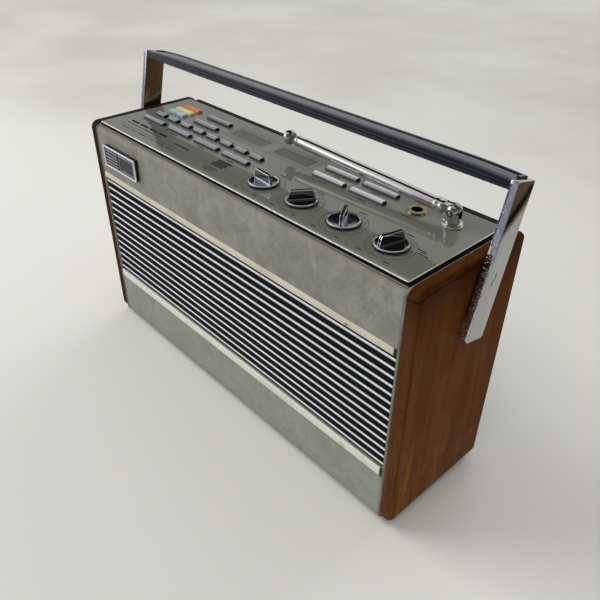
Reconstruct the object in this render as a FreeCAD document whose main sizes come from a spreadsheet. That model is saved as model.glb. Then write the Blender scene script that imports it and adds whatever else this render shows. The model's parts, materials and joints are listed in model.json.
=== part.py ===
import FreeCAD, Part
import os
import re
import Sketcher

# Carry-handle portable radio: wooden cheeks, wrapped cabinet, keys and knobs on the top panel,
# a folded telescopic aerial and a handle leaning back. Millimetres.
# +X right, +Y back, +Z up. Origin: centre of the footprint, on the plane the feet stand on.

V = FreeCAD.Vector
SIDES = ((-1, "left"), (1, "right"))
VENT_COUNT = 9
STRIP_COUNT = 14
BADGE_RIDGE_COUNT = 4
GRIP_RIB_COUNT = 3
KNOB_TURNS = ("knob_turn_one", "knob_turn_two", "knob_turn_three", "knob_turn_four")

# Driving dimensions. Aliases hold only lower-case letters and underscores, as bind() expects.
DIMS = dict(
    # gaps shared by many pieces; overrun is how far a cutting tool passes the wall it cuts
    running_gap=0.05, fit_gap=0.1, overrun=1,
    # cabinet
    cab_width=300, cab_depth=87, foot_high=2.8, foot_radius=6.5, foot_taper=0.6,
    foot_x=122, foot_y=29,
    cheek_bottom=4.2, cheek_top=166.0, cheek_thick=7.2,
    cheek_front_corner=5.5, cheek_back_corner=3.6, cheek_round=3,
    piping_thick=2.2, piping_bottom=2.3, piping_top=164.8, piping_depth=86.6, piping_band=8,
    sleeve_bottom=2.8, sleeve_top=164.0, sleeve_depth=85.8, sleeve_wall=6,
    front_round=3.5, back_round=5,
    well_x=134, well_front=33, well_back=32,
    block_wide=12.6, block_high=12, block_deep=12, block_inset=3.3,
    # back cover and its screws; insets are measured forward from the back of the sleeve
    back_thick=3, back_inset=3.2, back_gap=0.4,
    vent_left=-110, vent_long=70, vent_high=1.8, vent_first=60, vent_pitch=6,
    screw_radius=1.5, screw_x=134, screw_long=9, screw_bore=10, screw_clearance=0.2,
    head_radius=3.1, head_thick=1.6, head_inset=1.9, seat_radius=3.4, seat_deep=3,
    slot_long=8, slot_wide=0.9, slot_inset=1,
    # front
    grille_low=45.1, grille_high=126.0, recess_deep=2.4, cloth_thick=1.2, cloth_gap=0.2,
    strip_wide=1.8, strip_proud=0.7, strip_first=48.3, strip_pitch=5.735, strip_gap=0.4,
    trim_low_bottom=38.9, trim_high_top=130.3, trim_thick=0.7, trim_bevel=0.3, trim_long=278.2,
    badge_left=-130, badge_bottom=138.7, badge_wide=42, badge_high=15.6, badge_thick=2.4,
    badge_bevel=0.4, badge_frame=1.3, badge_sink=0.6,
    ridge_inset=3.7, ridge_first=3.4, ridge_pitch=2.55, ridge_high=1.2, ridge_deep=0.5,
    ridge_sink=0.2,
    # speaker
    speaker_x=-75, speaker_z=85.1, speaker_hole=39, speaker_flange=50, basket_deep=23,
    magnet_radius=22, magnet_deep=13,
    # control panel; rail_* is the ridged strip behind it
    panel_wide=279.8, panel_front=39.6, panel_back=37.2, panel_thick=1.8, panel_top=167.0,
    rail_front=37.9, rail_back=42.1, rail_top=167.2, rail_left=130, rail_right=139.8,
    panel_bevel=0.5, panel_corner=1.2, gasket_outset=0.5, slot_gap=0.15,
    # keys
    key_deep=4.0, key_proud=2.2, key_bevel=0.8, key_drop=0.1,
    flange_thick=1.0, flange_side=0.6, stem_long=3.6, stem_wide=4, stem_deep=2.4,
    station_long=11.0, station_first=-120.0, station_pitch=15.3, station_y=-1.0,
    band_long=24.8, band_first=-113.2, band_pitch=30.8, band_y=-11.3,
    scan_long=26.0, scan_x=-81.3, scan_back_y=21.7, scan_front_y=9.9,
    colour_long=18.6, colour_deep=4.6, colour_proud=1.6, colour_x=-115.9,
    colour_front_y=9.6, colour_pitch=6.5,
    mode_long=25.2, mode_left_x=39.9, mode_right_x=70.0, mode_back_y=21.5, mode_front_y=10.0,
    # circuit boards and the switches under the keys
    board_thick=1.6, key_board_z=152.0, switch_wide=5.4, colour_switch_deep=5.0,
    pillar_radius=1.9,
    # windows
    window_long=32, window_deep=10, window_left_x=-42.7, window_right_x=1.1, window_y=18.7,
    lens_sink=0.15, case_side=2, case_end=1.3, case_high=5,
    # knobs and controls
    knob_first=17.5, knob_pitch=32.1, knob_y=-21.0, knob_radius=9.4, knob_stem=3.0,
    knob_stem_deep=10.4, knob_fin_high=5.9, knob_fin_thick=2.0, knob_gap=0.3,
    knob_turn_one=-5, knob_turn_two=57, knob_turn_three=123, knob_turn_four=78,
    pot_radius=8.2, pot_deep=10, bush_radius=3.5, bush_sink=0.2,
    # socket
    jack_x=99, jack_y=17.5, jack_flange=6.0, jack_barrel=4.7, jack_bore=3.25, jack_deep=20,
    jack_floor=2.6, jack_overlap=0.4, jack_ring_high=1.2, jack_ring_taper=0.6,
    # aerial
    aerial_x=121, aerial_y=18.5, aerial_z=175.0, aerial_lift=1.9,
    collar_radius=5.6, collar_high=2.2, collar_taper=0.5, collar_stem=4.0, collar_deep=15,
    spindle_radius=2.5, spindle_deep=18.2, keeper_lip=1.1, keeper_thick=1,
    post_radius=4.25, dome_lift=0.4, post_slot_high=12,
    pin_radius=1.2, pin_sink=0.4, nick_wide=0.5, nick_deep=0.6, nick_high=4,
    tongue_thick=3.0, tongue_radius=2.4, tongue_clearance=0.3,
    tube_start=5.3, tube_end=117, tube_radius=3.6, tube_bore=3.1, nose_back=9, lip_long=2,
    second_radius=2.8, second_bore=2.3, third_radius=2.0, third_bore=1.5, tip_radius=1.2,
    section_foot=4, section_nose=6, button_radius=4.7,
    # handle
    pivot_y=1.6, pivot_z=130.2, handle_lean=13.1, arm_inner=151.7, arm_thick=4.3,
    arm_high=75, arm_half=7.6, arm_low_front=7.2, arm_low_back=8.2, arm_bottom=8.8,
    arm_toe=0.6, arm_bevel=0.5,
    stud_radius=3.0, stud_seat=2.6, boss_radius=7.4, nut_lip=3, nut_thick=2.2,
    grip_low=69.9, grip_high=75.6, grip_front=7.6, grip_back=7.8, grip_lip=76.3,
    rib_first=0.5, rib_pitch=1.6,
    inlay_front=0.6, inlay_back=5.8, inlay_thick=1.0, inlay_sink=0.35, inlay_gap=0.05,
    # inside
    main_left=-135, main_y=14, main_long=150, main_high=118, main_lift=12,
    main_rail=10, main_rail_y=10,
    rod_left=-130, rod_y=22.4, rod_z=140.6, rod_long=150, rod_radius=5,
    coil_left=-120, coil_long=26, coil_radius=6.4,
    clip_wide=6, clip_deep=10.4, clip_high=14, clip_z=124,
    battery_left=36, battery_front=-30, battery_long=90, battery_deep=58, battery_high=50,
    battery_wall=2, battery_rib=1.6, battery_rib_high=46,
)

# Cells worked out in the sheet from the ones before them.
DERIVED = dict(
    cheek_inner="cab_width/2 - cheek_thick",
    sleeve_half="cheek_inner - piping_thick",
    piping_round="front_round + 0.4",
    sleeve_front="-sleeve_depth/2",
    sleeve_back="sleeve_depth/2",
    sleeve_floor="sleeve_bottom + sleeve_wall",
    sleeve_ceiling="sleeve_top - sleeve_wall",
    cloth_front="sleeve_front + recess_deep - cloth_thick",
    badge_face="sleeve_front - badge_thick",
    panel_under="panel_top - panel_thick",
    panel_depth="panel_front + panel_back",
    through_panel="panel_thick + 2*overrun",
    colour_bevel="key_bevel/2",
    cap_bottom="panel_under - key_drop",
    key_board_face="key_board_z + board_thick",
    post_foot="panel_top + collar_high + fit_gap",
    dome_z="aerial_z + dome_lift",
    nose_start="tube_end - nose_back",
    lip_start="tube_end - lip_long",
    stud_start="cheek_inner - nut_thick - fit_gap",
    inlay_top="grip_high - inlay_sink",
    inlay_floor="inlay_top - inlay_thick",
    main_face="main_y + board_thick",
)

doc = FreeCAD.newDocument("portable_radio")
sheet = doc.addObject("Spreadsheet::Sheet", "dims")
CELLS = {alias: str(value) for alias, value in DIMS.items()}
CELLS.update({alias: "=" + formula for alias, formula in DERIVED.items()})
for row, (alias, content) in enumerate(CELLS.items(), 1):
    sheet.set(f"A{row}", alias)
    sheet.set(f"B{row}", content)
    sheet.setAlias(f"B{row}", alias)
doc.recompute()


# ---- expressions ---------------------------------------------------------
def bind(text):
    """Turn bare dimension words into references to the sheet."""
    def refer(match):
        word = match.group(0)
        return "dims." + word if word in CELLS else word
    return re.sub(r"[a-z][a-z_]+", refer, str(text))


def number(text):
    """The plain number an expression has now, read from the sheet."""
    value = sheet.evalExpression(bind(text))
    return float(getattr(value, "Value", value))


# ---- Part helpers: sizes and places are expressions ----------------------
# Turns that lay a cylinder's axis along the named direction.
TURNS = {"z": None, "-x": ((0, 1, 0), -90), "x": ((0, 1, 0), 90), "y": ((1, 0, 0), -90)}


def place(obj, at=(), turn=None):
    """Turn an object (axis, degrees) and bind its position to the sheet."""
    if turn:
        rotation = FreeCAD.Rotation(V(*turn[0]), number(turn[1]))
        obj.Placement = FreeCAD.Placement(V(0, 0, 0), rotation)
    for axis, text in zip("xyz", at):
        obj.setExpression("Placement.Base." + axis, bind(text))
    return obj


def solid(kind, name, sizes, at, turn=None):
    obj = doc.addObject("Part::" + kind, name)
    for prop, text in sizes.items():
        obj.setExpression(prop, bind(text))
    return place(obj, at, turn)


def box(name, size, at):
    return solid("Box", name, dict(zip(("Length", "Width", "Height"), size)), at)


def centred(name, size, at):
    """Box centred on x and y, standing on z."""
    x, y, z = at
    return box(name, size, (f"{x} - ({size[0]})/2", f"{y} - ({size[1]})/2", z))


def cylinder(name, radius, height, at, axis="z"):
    return solid("Cylinder", name, {"Radius": radius, "Height": height}, at, TURNS[axis])


def cone(name, first, last, height, at, axis="z"):
    sizes = {"Radius1": first, "Radius2": last, "Height": height}
    return solid("Cone", name, sizes, at, TURNS[axis])


def fuse(name, *parts):
    obj = doc.addObject("Part::MultiFuse", name)
    obj.Shapes = list(parts)
    obj.Refine = True
    return obj


def cut(name, base, *tools):
    tool = tools[0]
    if len(tools) > 1:
        tool = doc.addObject("Part::MultiFuse", name + "_tools")
        tool.Shapes = list(tools)
    obj = doc.addObject("Part::Cut", name)
    obj.Base = base
    obj.Tool = tool
    return obj


def group(name, *parts):
    obj = doc.addObject("Part::Compound", name)
    obj.Links = list(parts)
    return obj


def finish(name, base, size, pick, kind="Chamfer"):
    """Chamfer or fillet the edges of base that pick accepts."""
    doc.recompute()
    obj = doc.addObject("Part::" + kind, name)
    obj.Base = base
    size = number(size)
    obj.Edges = [(i, size, size) for i, edge in enumerate(base.Shape.Edges, 1) if pick(edge)]
    return obj


# ---- edge selectors ------------------------------------------------------
def lies(edge, axis, value):
    """True if the whole edge lies at one X, Y or Z value."""
    bounds = edge.BoundBox
    ends = (getattr(bounds, axis + "Min"), getattr(bounds, axis + "Max"))
    return all(abs(end - value) < 1e-4 for end in ends)


def along(edge, axis):
    if edge.Curve.TypeId != "Part::GeomLine":
        return False
    return abs(abs(edge.Curve.Direction.dot(V(*axis))) - 1) < 1e-6


def along_x(edge):
    return along(edge, (1, 0, 0))


# ---- PartDesign helpers --------------------------------------------------
# Sketch axes: XY_Plane is (x, y) facing +Z, YZ_Plane is (y, z) facing +X,
# XZ_Plane is (x, z) facing -Y, so its offset is -y.
def new_body(name, at=(), turn=None):
    return place(doc.addObject("PartDesign::Body", name), at, turn)


def sketch(body, name, plane, offset, polygons=(), circles=()):
    """Fully constrained outline on one of the body's planes, tied to the sheet."""
    obj = body.newObject("Sketcher::SketchObject", name)
    support = [f for f in body.Origin.OriginFeatures if f.Role == plane][0]
    obj.AttachmentSupport = [(support, "")]
    obj.MapMode = "FlatFace"
    obj.setExpression("AttachmentOffset.Base.z", bind(offset))
    ties = []

    def tie(kind, text, *where):
        index = obj.addConstraint(Sketcher.Constraint(kind, *where, number(text)))
        ties.append((index, text))

    for corners in polygons:
        first = obj.GeometryCount
        count = len(corners)
        points = [V(number(a), number(b), 0) for a, b in corners]
        for i in range(count):
            obj.addGeometry(Part.LineSegment(points[i], points[(i + 1) % count]), False)
        for i in range(count):
            after = first + (i + 1) % count
            obj.addConstraint(Sketcher.Constraint("Coincident", first + i, 2, after, 1))
        for i, (across, up) in enumerate(corners):
            tie("DistanceX", across, -1, 1, first + i, 1)
            tie("DistanceY", up, -1, 1, first + i, 1)
    for across, up, radius in circles:
        circle = Part.Circle(V(number(across), number(up), 0), V(0, 0, 1), number(radius))
        index = obj.addGeometry(circle, False)
        tie("DistanceX", across, -1, 1, index, 3)
        tie("DistanceY", up, -1, 1, index, 3)
        tie("Radius", radius, index)
    for index, text in ties:
        if re.search("[a-z]", text):
            obj.setExpression(f"Constraints[{index}]", bind(text))
    return obj


def rectangle(low_a, low_b, high_a, high_b):
    return [(low_a, low_b), (high_a, low_b), (high_a, high_b), (low_a, high_b)]


def feature(body, kind, name, profile):
    obj = body.newObject("PartDesign::" + kind, name)
    obj.Profile = profile
    profile.Visibility = False
    return obj


def pad(body, name, profile, length, midplane=False, reverse=False):
    obj = feature(body, "Pad", name, profile)
    obj.setExpression("Length", bind(length))
    obj.Midplane = midplane
    obj.Reversed = reverse
    doc.recompute()


def pocket(body, name, profile, length, reverse=False):
    """Cut against the sketch's facing direction, or along it if reversed."""
    before = body.Tip.Shape.Volume
    obj = feature(body, "Pocket", name, profile)
    obj.setExpression("Length", bind(length))
    obj.Reversed = reverse
    doc.recompute()
    assert obj.Shape.Volume < before - 1e-3, name + " cut nothing"


def revolve(body, name, profile, axis):
    obj = feature(body, "Revolution", name, profile)
    obj.ReferenceAxis = (profile, [axis])
    obj.Angle = 360
    doc.recompute()


def dress(body, kind, name, size, pick):
    """Fillet or chamfer the edges of the body's tip that pick accepts."""
    base = body.Tip
    edges = [f"Edge{i}" for i, edge in enumerate(base.Shape.Edges, 1) if pick(edge)]
    assert edges, name + " found no edges"
    obj = body.newObject("PartDesign::" + kind, name)
    obj.Base = (base, edges)
    obj.setExpression("Radius" if kind == "Fillet" else "Size", bind(size))
    doc.recompute()


pieces = {}


def piece(obj):
    """Register an object as a piece to export under its own name."""
    obj.Label = obj.Name
    pieces[obj.Name] = obj


# ---- cabinet -------------------------------------------------------------
def make_cheek(side, word):
    """Wooden end board: rounded corners, outer face rounded all round."""
    name = word + "_cheek"
    body = new_body(name)
    outline = rectangle("-cab_depth/2", "cheek_bottom", "cab_depth/2", "cheek_top")
    start = "cheek_inner" if side > 0 else "-cab_width/2"
    pad(body, name + "_board",
        sketch(body, name + "_outline", "YZ_Plane", start, [outline]), "cheek_thick")
    dress(body, "Fillet", name + "_front_corners", "cheek_front_corner",
          lambda edge: along_x(edge) and edge.CenterOfMass.y < 0)
    dress(body, "Fillet", name + "_back_corners", "cheek_back_corner",
          lambda edge: along_x(edge) and edge.CenterOfMass.y > 0)
    outer_x = side * number("cab_width/2")
    dress(body, "Fillet", name + "_edge", "cheek_round", lambda edge: lies(edge, "X", outer_x))
    hole = sketch(body, name + "_pivot", "YZ_Plane", f"{side}*(cab_width/2 + overrun)",
                  circles=[("pivot_y", "pivot_z", "stud_radius + running_gap")])
    pocket(body, name + "_pivot_hole", hole, "cheek_thick + 2*overrun", reverse=side < 0)
    piece(body)


def make_pipings():
    """Vinyl rings between the cheeks and the sleeve."""
    rings = []
    for side, word in SIDES:
        name = word + "_piping"
        body = new_body(name + "_ring")
        start = "sleeve_half" if side > 0 else "-cheek_inner"
        outline = rectangle("-piping_depth/2", "piping_bottom", "piping_depth/2", "piping_top")
        pad(body, name + "_plate",
            sketch(body, name + "_outline", "YZ_Plane", start, [outline]), "piping_thick")
        dress(body, "Fillet", name + "_corner", "piping_round", along_x)
        opening = rectangle("-piping_depth/2 + piping_band", "piping_bottom + piping_band",
                            "piping_depth/2 - piping_band", "piping_top - piping_band")
        pocket(body, name + "_open", sketch(body, name + "_inner", "YZ_Plane", start, [opening]),
               "piping_thick", reverse=True)
        rings.append(body)
    piece(group("side_pipings", *rings))


# (x, z) of the back screws
SCREWS = [(f"{side}*screw_x", z) for side in (-1, 1)
          for z in ("sleeve_floor + block_high/2", "sleeve_ceiling - block_high/2")]


def make_sleeve():
    """Front, top and bottom walls in one C, open at the back, with glue blocks."""
    body = new_body("cabinet_sleeve")
    section = [
        ("sleeve_front", "sleeve_bottom"), ("sleeve_back", "sleeve_bottom"),
        ("sleeve_back", "sleeve_floor"), ("sleeve_front + sleeve_wall", "sleeve_floor"),
        ("sleeve_front + sleeve_wall", "sleeve_ceiling"), ("sleeve_back", "sleeve_ceiling"),
        ("sleeve_back", "sleeve_top"), ("sleeve_front", "sleeve_top")]
    pad(body, "sleeve_walls",
        sketch(body, "sleeve_profile", "YZ_Plane", "-sleeve_half", [section]), "2*sleeve_half")
    low_z = number("sleeve_bottom")
    high_z = number("sleeve_top")
    for word in ("front", "back"):
        face_y = number("sleeve_" + word)
        dress(body, "Fillet", f"sleeve_{word}_round", word + "_round",
              lambda edge: along_x(edge) and lies(edge, "Y", face_y)
              and (lies(edge, "Z", low_z) or lies(edge, "Z", high_z)))

    well = rectangle("-well_x", "-well_front", "well_x", "well_back")
    pocket(body, "sleeve_well_cut",
           sketch(body, "sleeve_well", "XY_Plane", "sleeve_top + overrun", [well]),
           "sleeve_wall + 2*overrun")
    recess = rectangle("-sleeve_half", "grille_low", "sleeve_half", "grille_high")
    pocket(body, "sleeve_recess_cut",
           sketch(body, "sleeve_recess", "XZ_Plane", "-sleeve_front", [recess]), "recess_deep")
    opening = sketch(body, "sleeve_speaker", "XZ_Plane", "-sleeve_front",
                     circles=[("speaker_x", "speaker_z", "speaker_hole")])
    pocket(body, "sleeve_speaker_cut", opening, "sleeve_wall + overrun")

    # a block in each back corner takes a cover screw
    blocks = [rectangle(f"{side}*sleeve_half", low, f"{side}*(sleeve_half - block_wide)", high)
              for side in (-1, 1)
              for low, high in (("sleeve_floor", "sleeve_floor + block_high"),
                                ("sleeve_ceiling - block_high", "sleeve_ceiling"))]
    block_face = "-(sleeve_back - block_inset)"
    pad(body, "sleeve_glue_blocks",
        sketch(body, "sleeve_blocks", "XZ_Plane", block_face, blocks), "block_deep")
    holes = [(x, z, "screw_radius + running_gap") for x, z in SCREWS]
    pocket(body, "sleeve_screw_cut",
           sketch(body, "sleeve_screw_holes", "XZ_Plane", block_face, circles=holes),
           "screw_bore", reverse=True)
    piece(body)


def make_back_cover():
    """Flat cover with countersunk screw holes and a stack of vents."""
    plate = box("back_plate",
                ("2*(sleeve_half - back_gap)", "back_thick",
                 "sleeve_ceiling - sleeve_floor - 2*back_gap"),
                ("-(sleeve_half - back_gap)", "sleeve_back - back_inset",
                 "sleeve_floor + back_gap"))
    tool_y = "sleeve_back - back_inset - overrun"
    through = "back_thick + 2*overrun"
    tools = []
    for i, (x, z) in enumerate(SCREWS):
        tools.append(cylinder(f"back_hole_{i}", "screw_radius + screw_clearance", through,
                              (x, tool_y, z), "y"))
        tools.append(cylinder(f"back_seat_{i}", "seat_radius", "seat_deep",
                              (x, "sleeve_back - head_inset", z), "y"))
    for i in range(VENT_COUNT):
        tools.append(box(f"back_vent_{i}", ("vent_long", through, "vent_high"),
                         ("vent_left", tool_y, f"vent_first + {i}*vent_pitch")))
    piece(cut("back_cover", plate, *tools))


def make_back_screws():
    screws = []
    for i, (x, z) in enumerate(SCREWS):
        head = cylinder(f"screw_head_{i}", "head_radius", "head_thick",
                        (x, "sleeve_back - head_inset", z), "y")
        shank = cylinder(f"screw_shank_{i}", "screw_radius", "screw_long",
                         (x, "sleeve_back - head_inset - screw_long", z), "y")
        blank = fuse(f"screw_blank_{i}", head, shank)
        slot = box(f"screw_slot_{i}", ("slot_long", "slot_inset", "slot_wide"),
                   (f"{x} - slot_long/2", "sleeve_back - slot_inset", f"{z} - slot_wide/2"))
        screws.append(cut(f"screw_{i}", blank, slot))
    piece(group("back_screws", *screws))


def make_feet():
    feet = [cone(f"foot_{i}{j}", "foot_radius - foot_taper", "foot_radius", "foot_high",
                 (f"{i}*foot_x", f"{j}*foot_y", "0")) for i in (-1, 1) for j in (-1, 1)]
    piece(group("rubber_feet", *feet))


# ---- front ---------------------------------------------------------------
def make_cloth():
    """Cloth panel on the floor of the grille recess."""
    body = new_body("grille_cloth")
    outline = rectangle("-sleeve_half + cloth_gap", "grille_low + cloth_gap",
                        "sleeve_half - cloth_gap", "grille_high - cloth_gap")
    pad(body, "cloth_board",
        sketch(body, "cloth_outline", "XZ_Plane", "-cloth_front", [outline]),
        "cloth_thick", reverse=True)
    piece(body)


def make_strips():
    """Horizontal metal strips across the cloth."""
    strips = [box(f"strip_{i:02d}", ("2*sleeve_half - 2*strip_gap", "strip_proud", "strip_wide"),
                  ("-sleeve_half + strip_gap", "cloth_front - strip_proud",
                   f"strip_first - strip_wide/2 + {i}*strip_pitch"))
              for i in range(STRIP_COUNT)]
    piece(group("grille_strips", *strips))


def make_trims():
    """Bevelled bars below and above the grille."""
    face_y = number("sleeve_front - trim_thick")
    trims = []
    for word, low, high in (("lower", "trim_low_bottom", "grille_low"),
                            ("upper", "grille_high", "trim_high_top")):
        bar = box(word + "_trim_bar", ("trim_long", "trim_thick", f"{high} - {low}"),
                  ("-trim_long/2", "sleeve_front - trim_thick", low))
        trims.append(finish(word + "_trim", bar, "trim_bevel",
                            lambda edge: lies(edge, "Y", face_y)))
    piece(group("trim_strips", *trims))


def make_badge():
    """Framed tablet with plain ridges."""
    block = box("badge_block", ("badge_wide", "badge_thick", "badge_high"),
                ("badge_left", "badge_face", "badge_bottom"))
    face_y = number("badge_face")
    bevelled = finish("badge_bevelled", block, "badge_bevel",
                      lambda edge: lies(edge, "Y", face_y))
    field = box("badge_field",
                ("badge_wide - 2*badge_frame", "badge_sink + 0.1", "badge_high - 2*badge_frame"),
                ("badge_left + badge_frame", "badge_face - 0.1", "badge_bottom + badge_frame"))
    tray = cut("badge_tray", bevelled, field)
    ridges = [box(f"badge_ridge_{i}", ("badge_wide - 2*ridge_inset", "ridge_deep", "ridge_high"),
                  ("badge_left + ridge_inset", "badge_face + ridge_sink",
                   f"badge_bottom + ridge_first + {i}*ridge_pitch"))
              for i in range(BADGE_RIDGE_COUNT)]
    piece(fuse("badge_plate", tray, *ridges))


# ---- loudspeaker ---------------------------------------------------------
# Profiles: (radius, distance behind the inside of the front wall)
BASKET_PROFILE = [
    ("speaker_hole + 0.5", "0"), ("speaker_flange", "0"), ("speaker_flange", "1.5"),
    ("speaker_flange - 3", "1.5"), ("25", "basket_deep"), ("4", "basket_deep"),
    ("4", "basket_deep - 1.2"), ("24.2", "basket_deep - 1.2"),
    ("speaker_flange - 5", "1.5"), ("speaker_hole + 0.5", "1.5")]
CONE_PROFILE = [
    ("0", "11.2"), ("6", "12.6"), ("11", "16"), ("36", "2.6"),
    ("speaker_hole + 0.2", "0.6"), ("speaker_hole + 0.4", "1.4"),
    ("36.2", "3.7"), ("13", "16.4"), ("13", "20.6"), ("11.6", "20.6"),
    ("11.6", "17.4"), ("6", "13.6"), ("0", "12.2")]


def make_speaker():
    for word, profile in (("basket", BASKET_PROFILE), ("cone", CONE_PROFILE)):
        body = new_body("speaker_" + word, ("speaker_x", "sleeve_front + sleeve_wall", "speaker_z"))
        revolve(body, word + "_turned",
                sketch(body, word + "_profile", "XY_Plane", "0", [profile]), "V_Axis")
        piece(body)
    piece(cylinder("speaker_magnet", "magnet_radius", "magnet_deep",
                   ("speaker_x", "sleeve_front + sleeve_wall + basket_deep", "speaker_z"), "y"))


# ---- keys ----------------------------------------------------------------
# (name, kind, centre x, centre y)
KEYS = [(word + "_key", "colour", "colour_x", f"colour_front_y + {i}*colour_pitch")
        for i, word in enumerate(("blue", "yellow", "orange"))]
KEYS += [("scan_key_" + line, "scan", "scan_x", f"scan_{line}_y") for line in ("back", "front")]
for kind, count in (("station", 8), ("band", 4)):
    KEYS += [(f"{kind}_key_{i + 1}", kind, f"{kind}_first + {i}*{kind}_pitch", kind + "_y")
             for i in range(count)]
MODE_PLACES = (("left", "back"), ("right", "back"), ("left", "front"), ("right", "front"))
KEYS += [(f"mode_key_{i}", "mode", f"mode_{column}_x", f"mode_{line}_y")
         for i, (column, line) in enumerate(MODE_PLACES, 1)]


def key_sizes(kind):
    """Length, depth, height above the panel, bevel and switch depth of a kind of key."""
    if kind == "colour":
        return ("colour_long", "colour_deep", "colour_proud", "colour_bevel",
                "colour_switch_deep")
    return kind + "_long", "key_deep", "key_proud", "key_bevel", "switch_wide"


def make_key(name, kind, x, y):
    """Bevelled cap through the panel, a flange below it and a stem to the switch."""
    length, depth, proud, bevel, _ = key_sizes(kind)
    cap = centred(name + "_cap", (length, depth, f"{proud} + panel_thick + key_drop"),
                  (x, y, "cap_bottom"))
    top_z = number("panel_top + " + proud)
    bevelled = finish(name + "_cap_bevel", cap, bevel, lambda edge: lies(edge, "Z", top_z))
    flange = centred(name + "_flange",
                     (f"{length} + 2*flange_side", f"{depth} + 2*flange_side", "flange_thick"),
                     (x, y, "cap_bottom - flange_thick"))
    stem = centred(name + "_stem", ("stem_wide", "stem_deep", "stem_long"),
                   (x, y, "cap_bottom - flange_thick - stem_long"))
    piece(fuse(name, bevelled, flange, stem))


# Outline (x, y) of the board under the keys, and the (x, y) of its pillars
SWITCH_BOARD = [("-127.4", "-15"), ("2", "-15"), ("2", "3"), ("92", "3"), ("92", "31"),
                ("-127.4", "31")]
PILLARS = ((-125.2, 28.4), (-61.9, -6.2), (-20.7, 28.4), (23.6, 28.4),
           (88.6, 28.4), (88.6, 5.2), (23.6, 5.2), (-125.2, -6.2))


def make_switch_board():
    """Board with a switch under every key, hung from the panel on pillars."""
    body = new_body("switch_board_plate")
    outline = sketch(body, "switch_board_outline", "XY_Plane", "key_board_z", [SWITCH_BOARD])
    pad(body, "switch_board_sheet", outline, "board_thick")
    parts = [body]
    for name, kind, x, y in KEYS:
        switch_deep = key_sizes(kind)[-1]
        parts.append(centred(name + "_switch", ("switch_wide", switch_deep, "switch_wide"),
                             (x, y, "key_board_face")))
    for i, (x, y) in enumerate(PILLARS):
        parts.append(cylinder(f"pillar_{i}", "pillar_radius", "panel_under - key_board_face",
                              (x, y, "key_board_face")))
    piece(group("key_switch_board", *parts))


# ---- control panel, gasket and windows -----------------------------------
def knob_x(i):
    return f"knob_first + {i}*knob_pitch"


def make_control_panel():
    blank = box("panel_blank", ("panel_wide", "panel_depth", "panel_thick"),
                ("-panel_wide/2", "-panel_front", "panel_under"))
    rounded = finish("panel_rounded", blank, "panel_corner",
                     lambda edge: along(edge, (0, 0, 1)), "Fillet")
    top_z = number("panel_top")
    bevelled = finish("panel_bevelled", rounded, "panel_bevel",
                      lambda edge: lies(edge, "Z", top_z))
    low = "panel_under - overrun"
    holes = []
    for name, kind, x, y in KEYS:
        length, depth = key_sizes(kind)[:2]
        holes.append(centred(name + "_slot",
                             (f"{length} + 2*slot_gap", f"{depth} + 2*slot_gap", "through_panel"),
                             (x, y, low)))
    for _, word in SIDES:
        holes.append(centred(word + "_window_hole",
                             ("window_long + 2*fit_gap", "window_deep + 2*fit_gap",
                              "through_panel"), (f"window_{word}_x", "window_y", low)))
    # (name, radius, x, y)
    rounds = [(f"pot_hole_{i}", "bush_radius", knob_x(i), "knob_y")
              for i in range(len(KNOB_TURNS))]
    rounds += [("jack_hole", "jack_barrel", "jack_x", "jack_y"),
               ("collar_hole", "collar_stem", "aerial_x", "aerial_y")]
    for name, radius, x, y in rounds:
        holes.append(cylinder(name, radius + " + fit_gap", "through_panel", (x, y, low)))
    piece(cut("control_panel", bevelled, *holes))


def make_gasket():
    """Frame under the panel, with the ridged rail along the top back edge."""
    body = new_body("back_rail")
    # (y, z): a groove between a front and a back ridge
    section = [
        ("rail_front", "sleeve_top"), ("rail_back", "sleeve_top"),
        ("rail_back", "rail_top - 0.5"), ("rail_back - 0.5", "rail_top"),
        ("rail_back - 1.3", "rail_top"), ("rail_back - 1.3", "rail_top - 0.6"),
        ("rail_front + 1.2", "rail_top - 0.6"), ("rail_front + 1.2", "rail_top"),
        ("rail_front", "rail_top")]
    pad(body, "rail_strip", sketch(body, "rail_profile", "YZ_Plane", "-rail_left", [section]),
        "rail_left + rail_right")
    outer = box("gasket_outer",
                ("panel_wide + 2*gasket_outset", "panel_depth + 2*gasket_outset",
                 "panel_under - sleeve_top"),
                ("-panel_wide/2 - gasket_outset", "-panel_front - gasket_outset", "sleeve_top"))
    inner = box("gasket_inner",
                ("2*well_x", "well_front + well_back", "panel_under - sleeve_top + 2*overrun"),
                ("-well_x", "-well_front", "sleeve_top - overrun"))
    piece(group("panel_gasket", cut("gasket_frame", outer, inner), body))


def make_windows():
    """Lens in the panel with a display case below it."""
    modules = []
    for _, word in SIDES:
        x = f"window_{word}_x"
        lens = centred(word + "_lens", ("window_long", "window_deep", "panel_thick - lens_sink"),
                       (x, "window_y", "panel_under"))
        case = centred(word + "_case",
                       ("window_long + 2*case_side", "window_deep + 2*case_end", "case_high"),
                       (x, "window_y", "panel_under - case_high"))
        modules.append(fuse(word + "_display", lens, case))
    piece(group("display_windows", *modules))


# ---- rotary controls, knobs and socket -----------------------------------
def make_pots():
    """Round cans under the panel, each with a bored bush through it."""
    pots = []
    for i in range(len(KNOB_TURNS)):
        x = knob_x(i)
        can = cylinder(f"pot_can_{i}", "pot_radius", "pot_deep",
                       (x, "knob_y", "panel_under - pot_deep"))
        bush = cylinder(f"pot_bush_{i}", "bush_radius", "panel_thick - bush_sink + overrun",
                        (x, "knob_y", "panel_under - overrun"))
        bore = cylinder(f"pot_bore_{i}", "knob_stem + running_gap", "pot_deep + through_panel",
                        (x, "knob_y", "panel_under - pot_deep - overrun"))
        pots.append(cut(f"pot_{i}", fuse(f"pot_blank_{i}", can, bush), bore))
    piece(group("rotary_controls", *pots))


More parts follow.
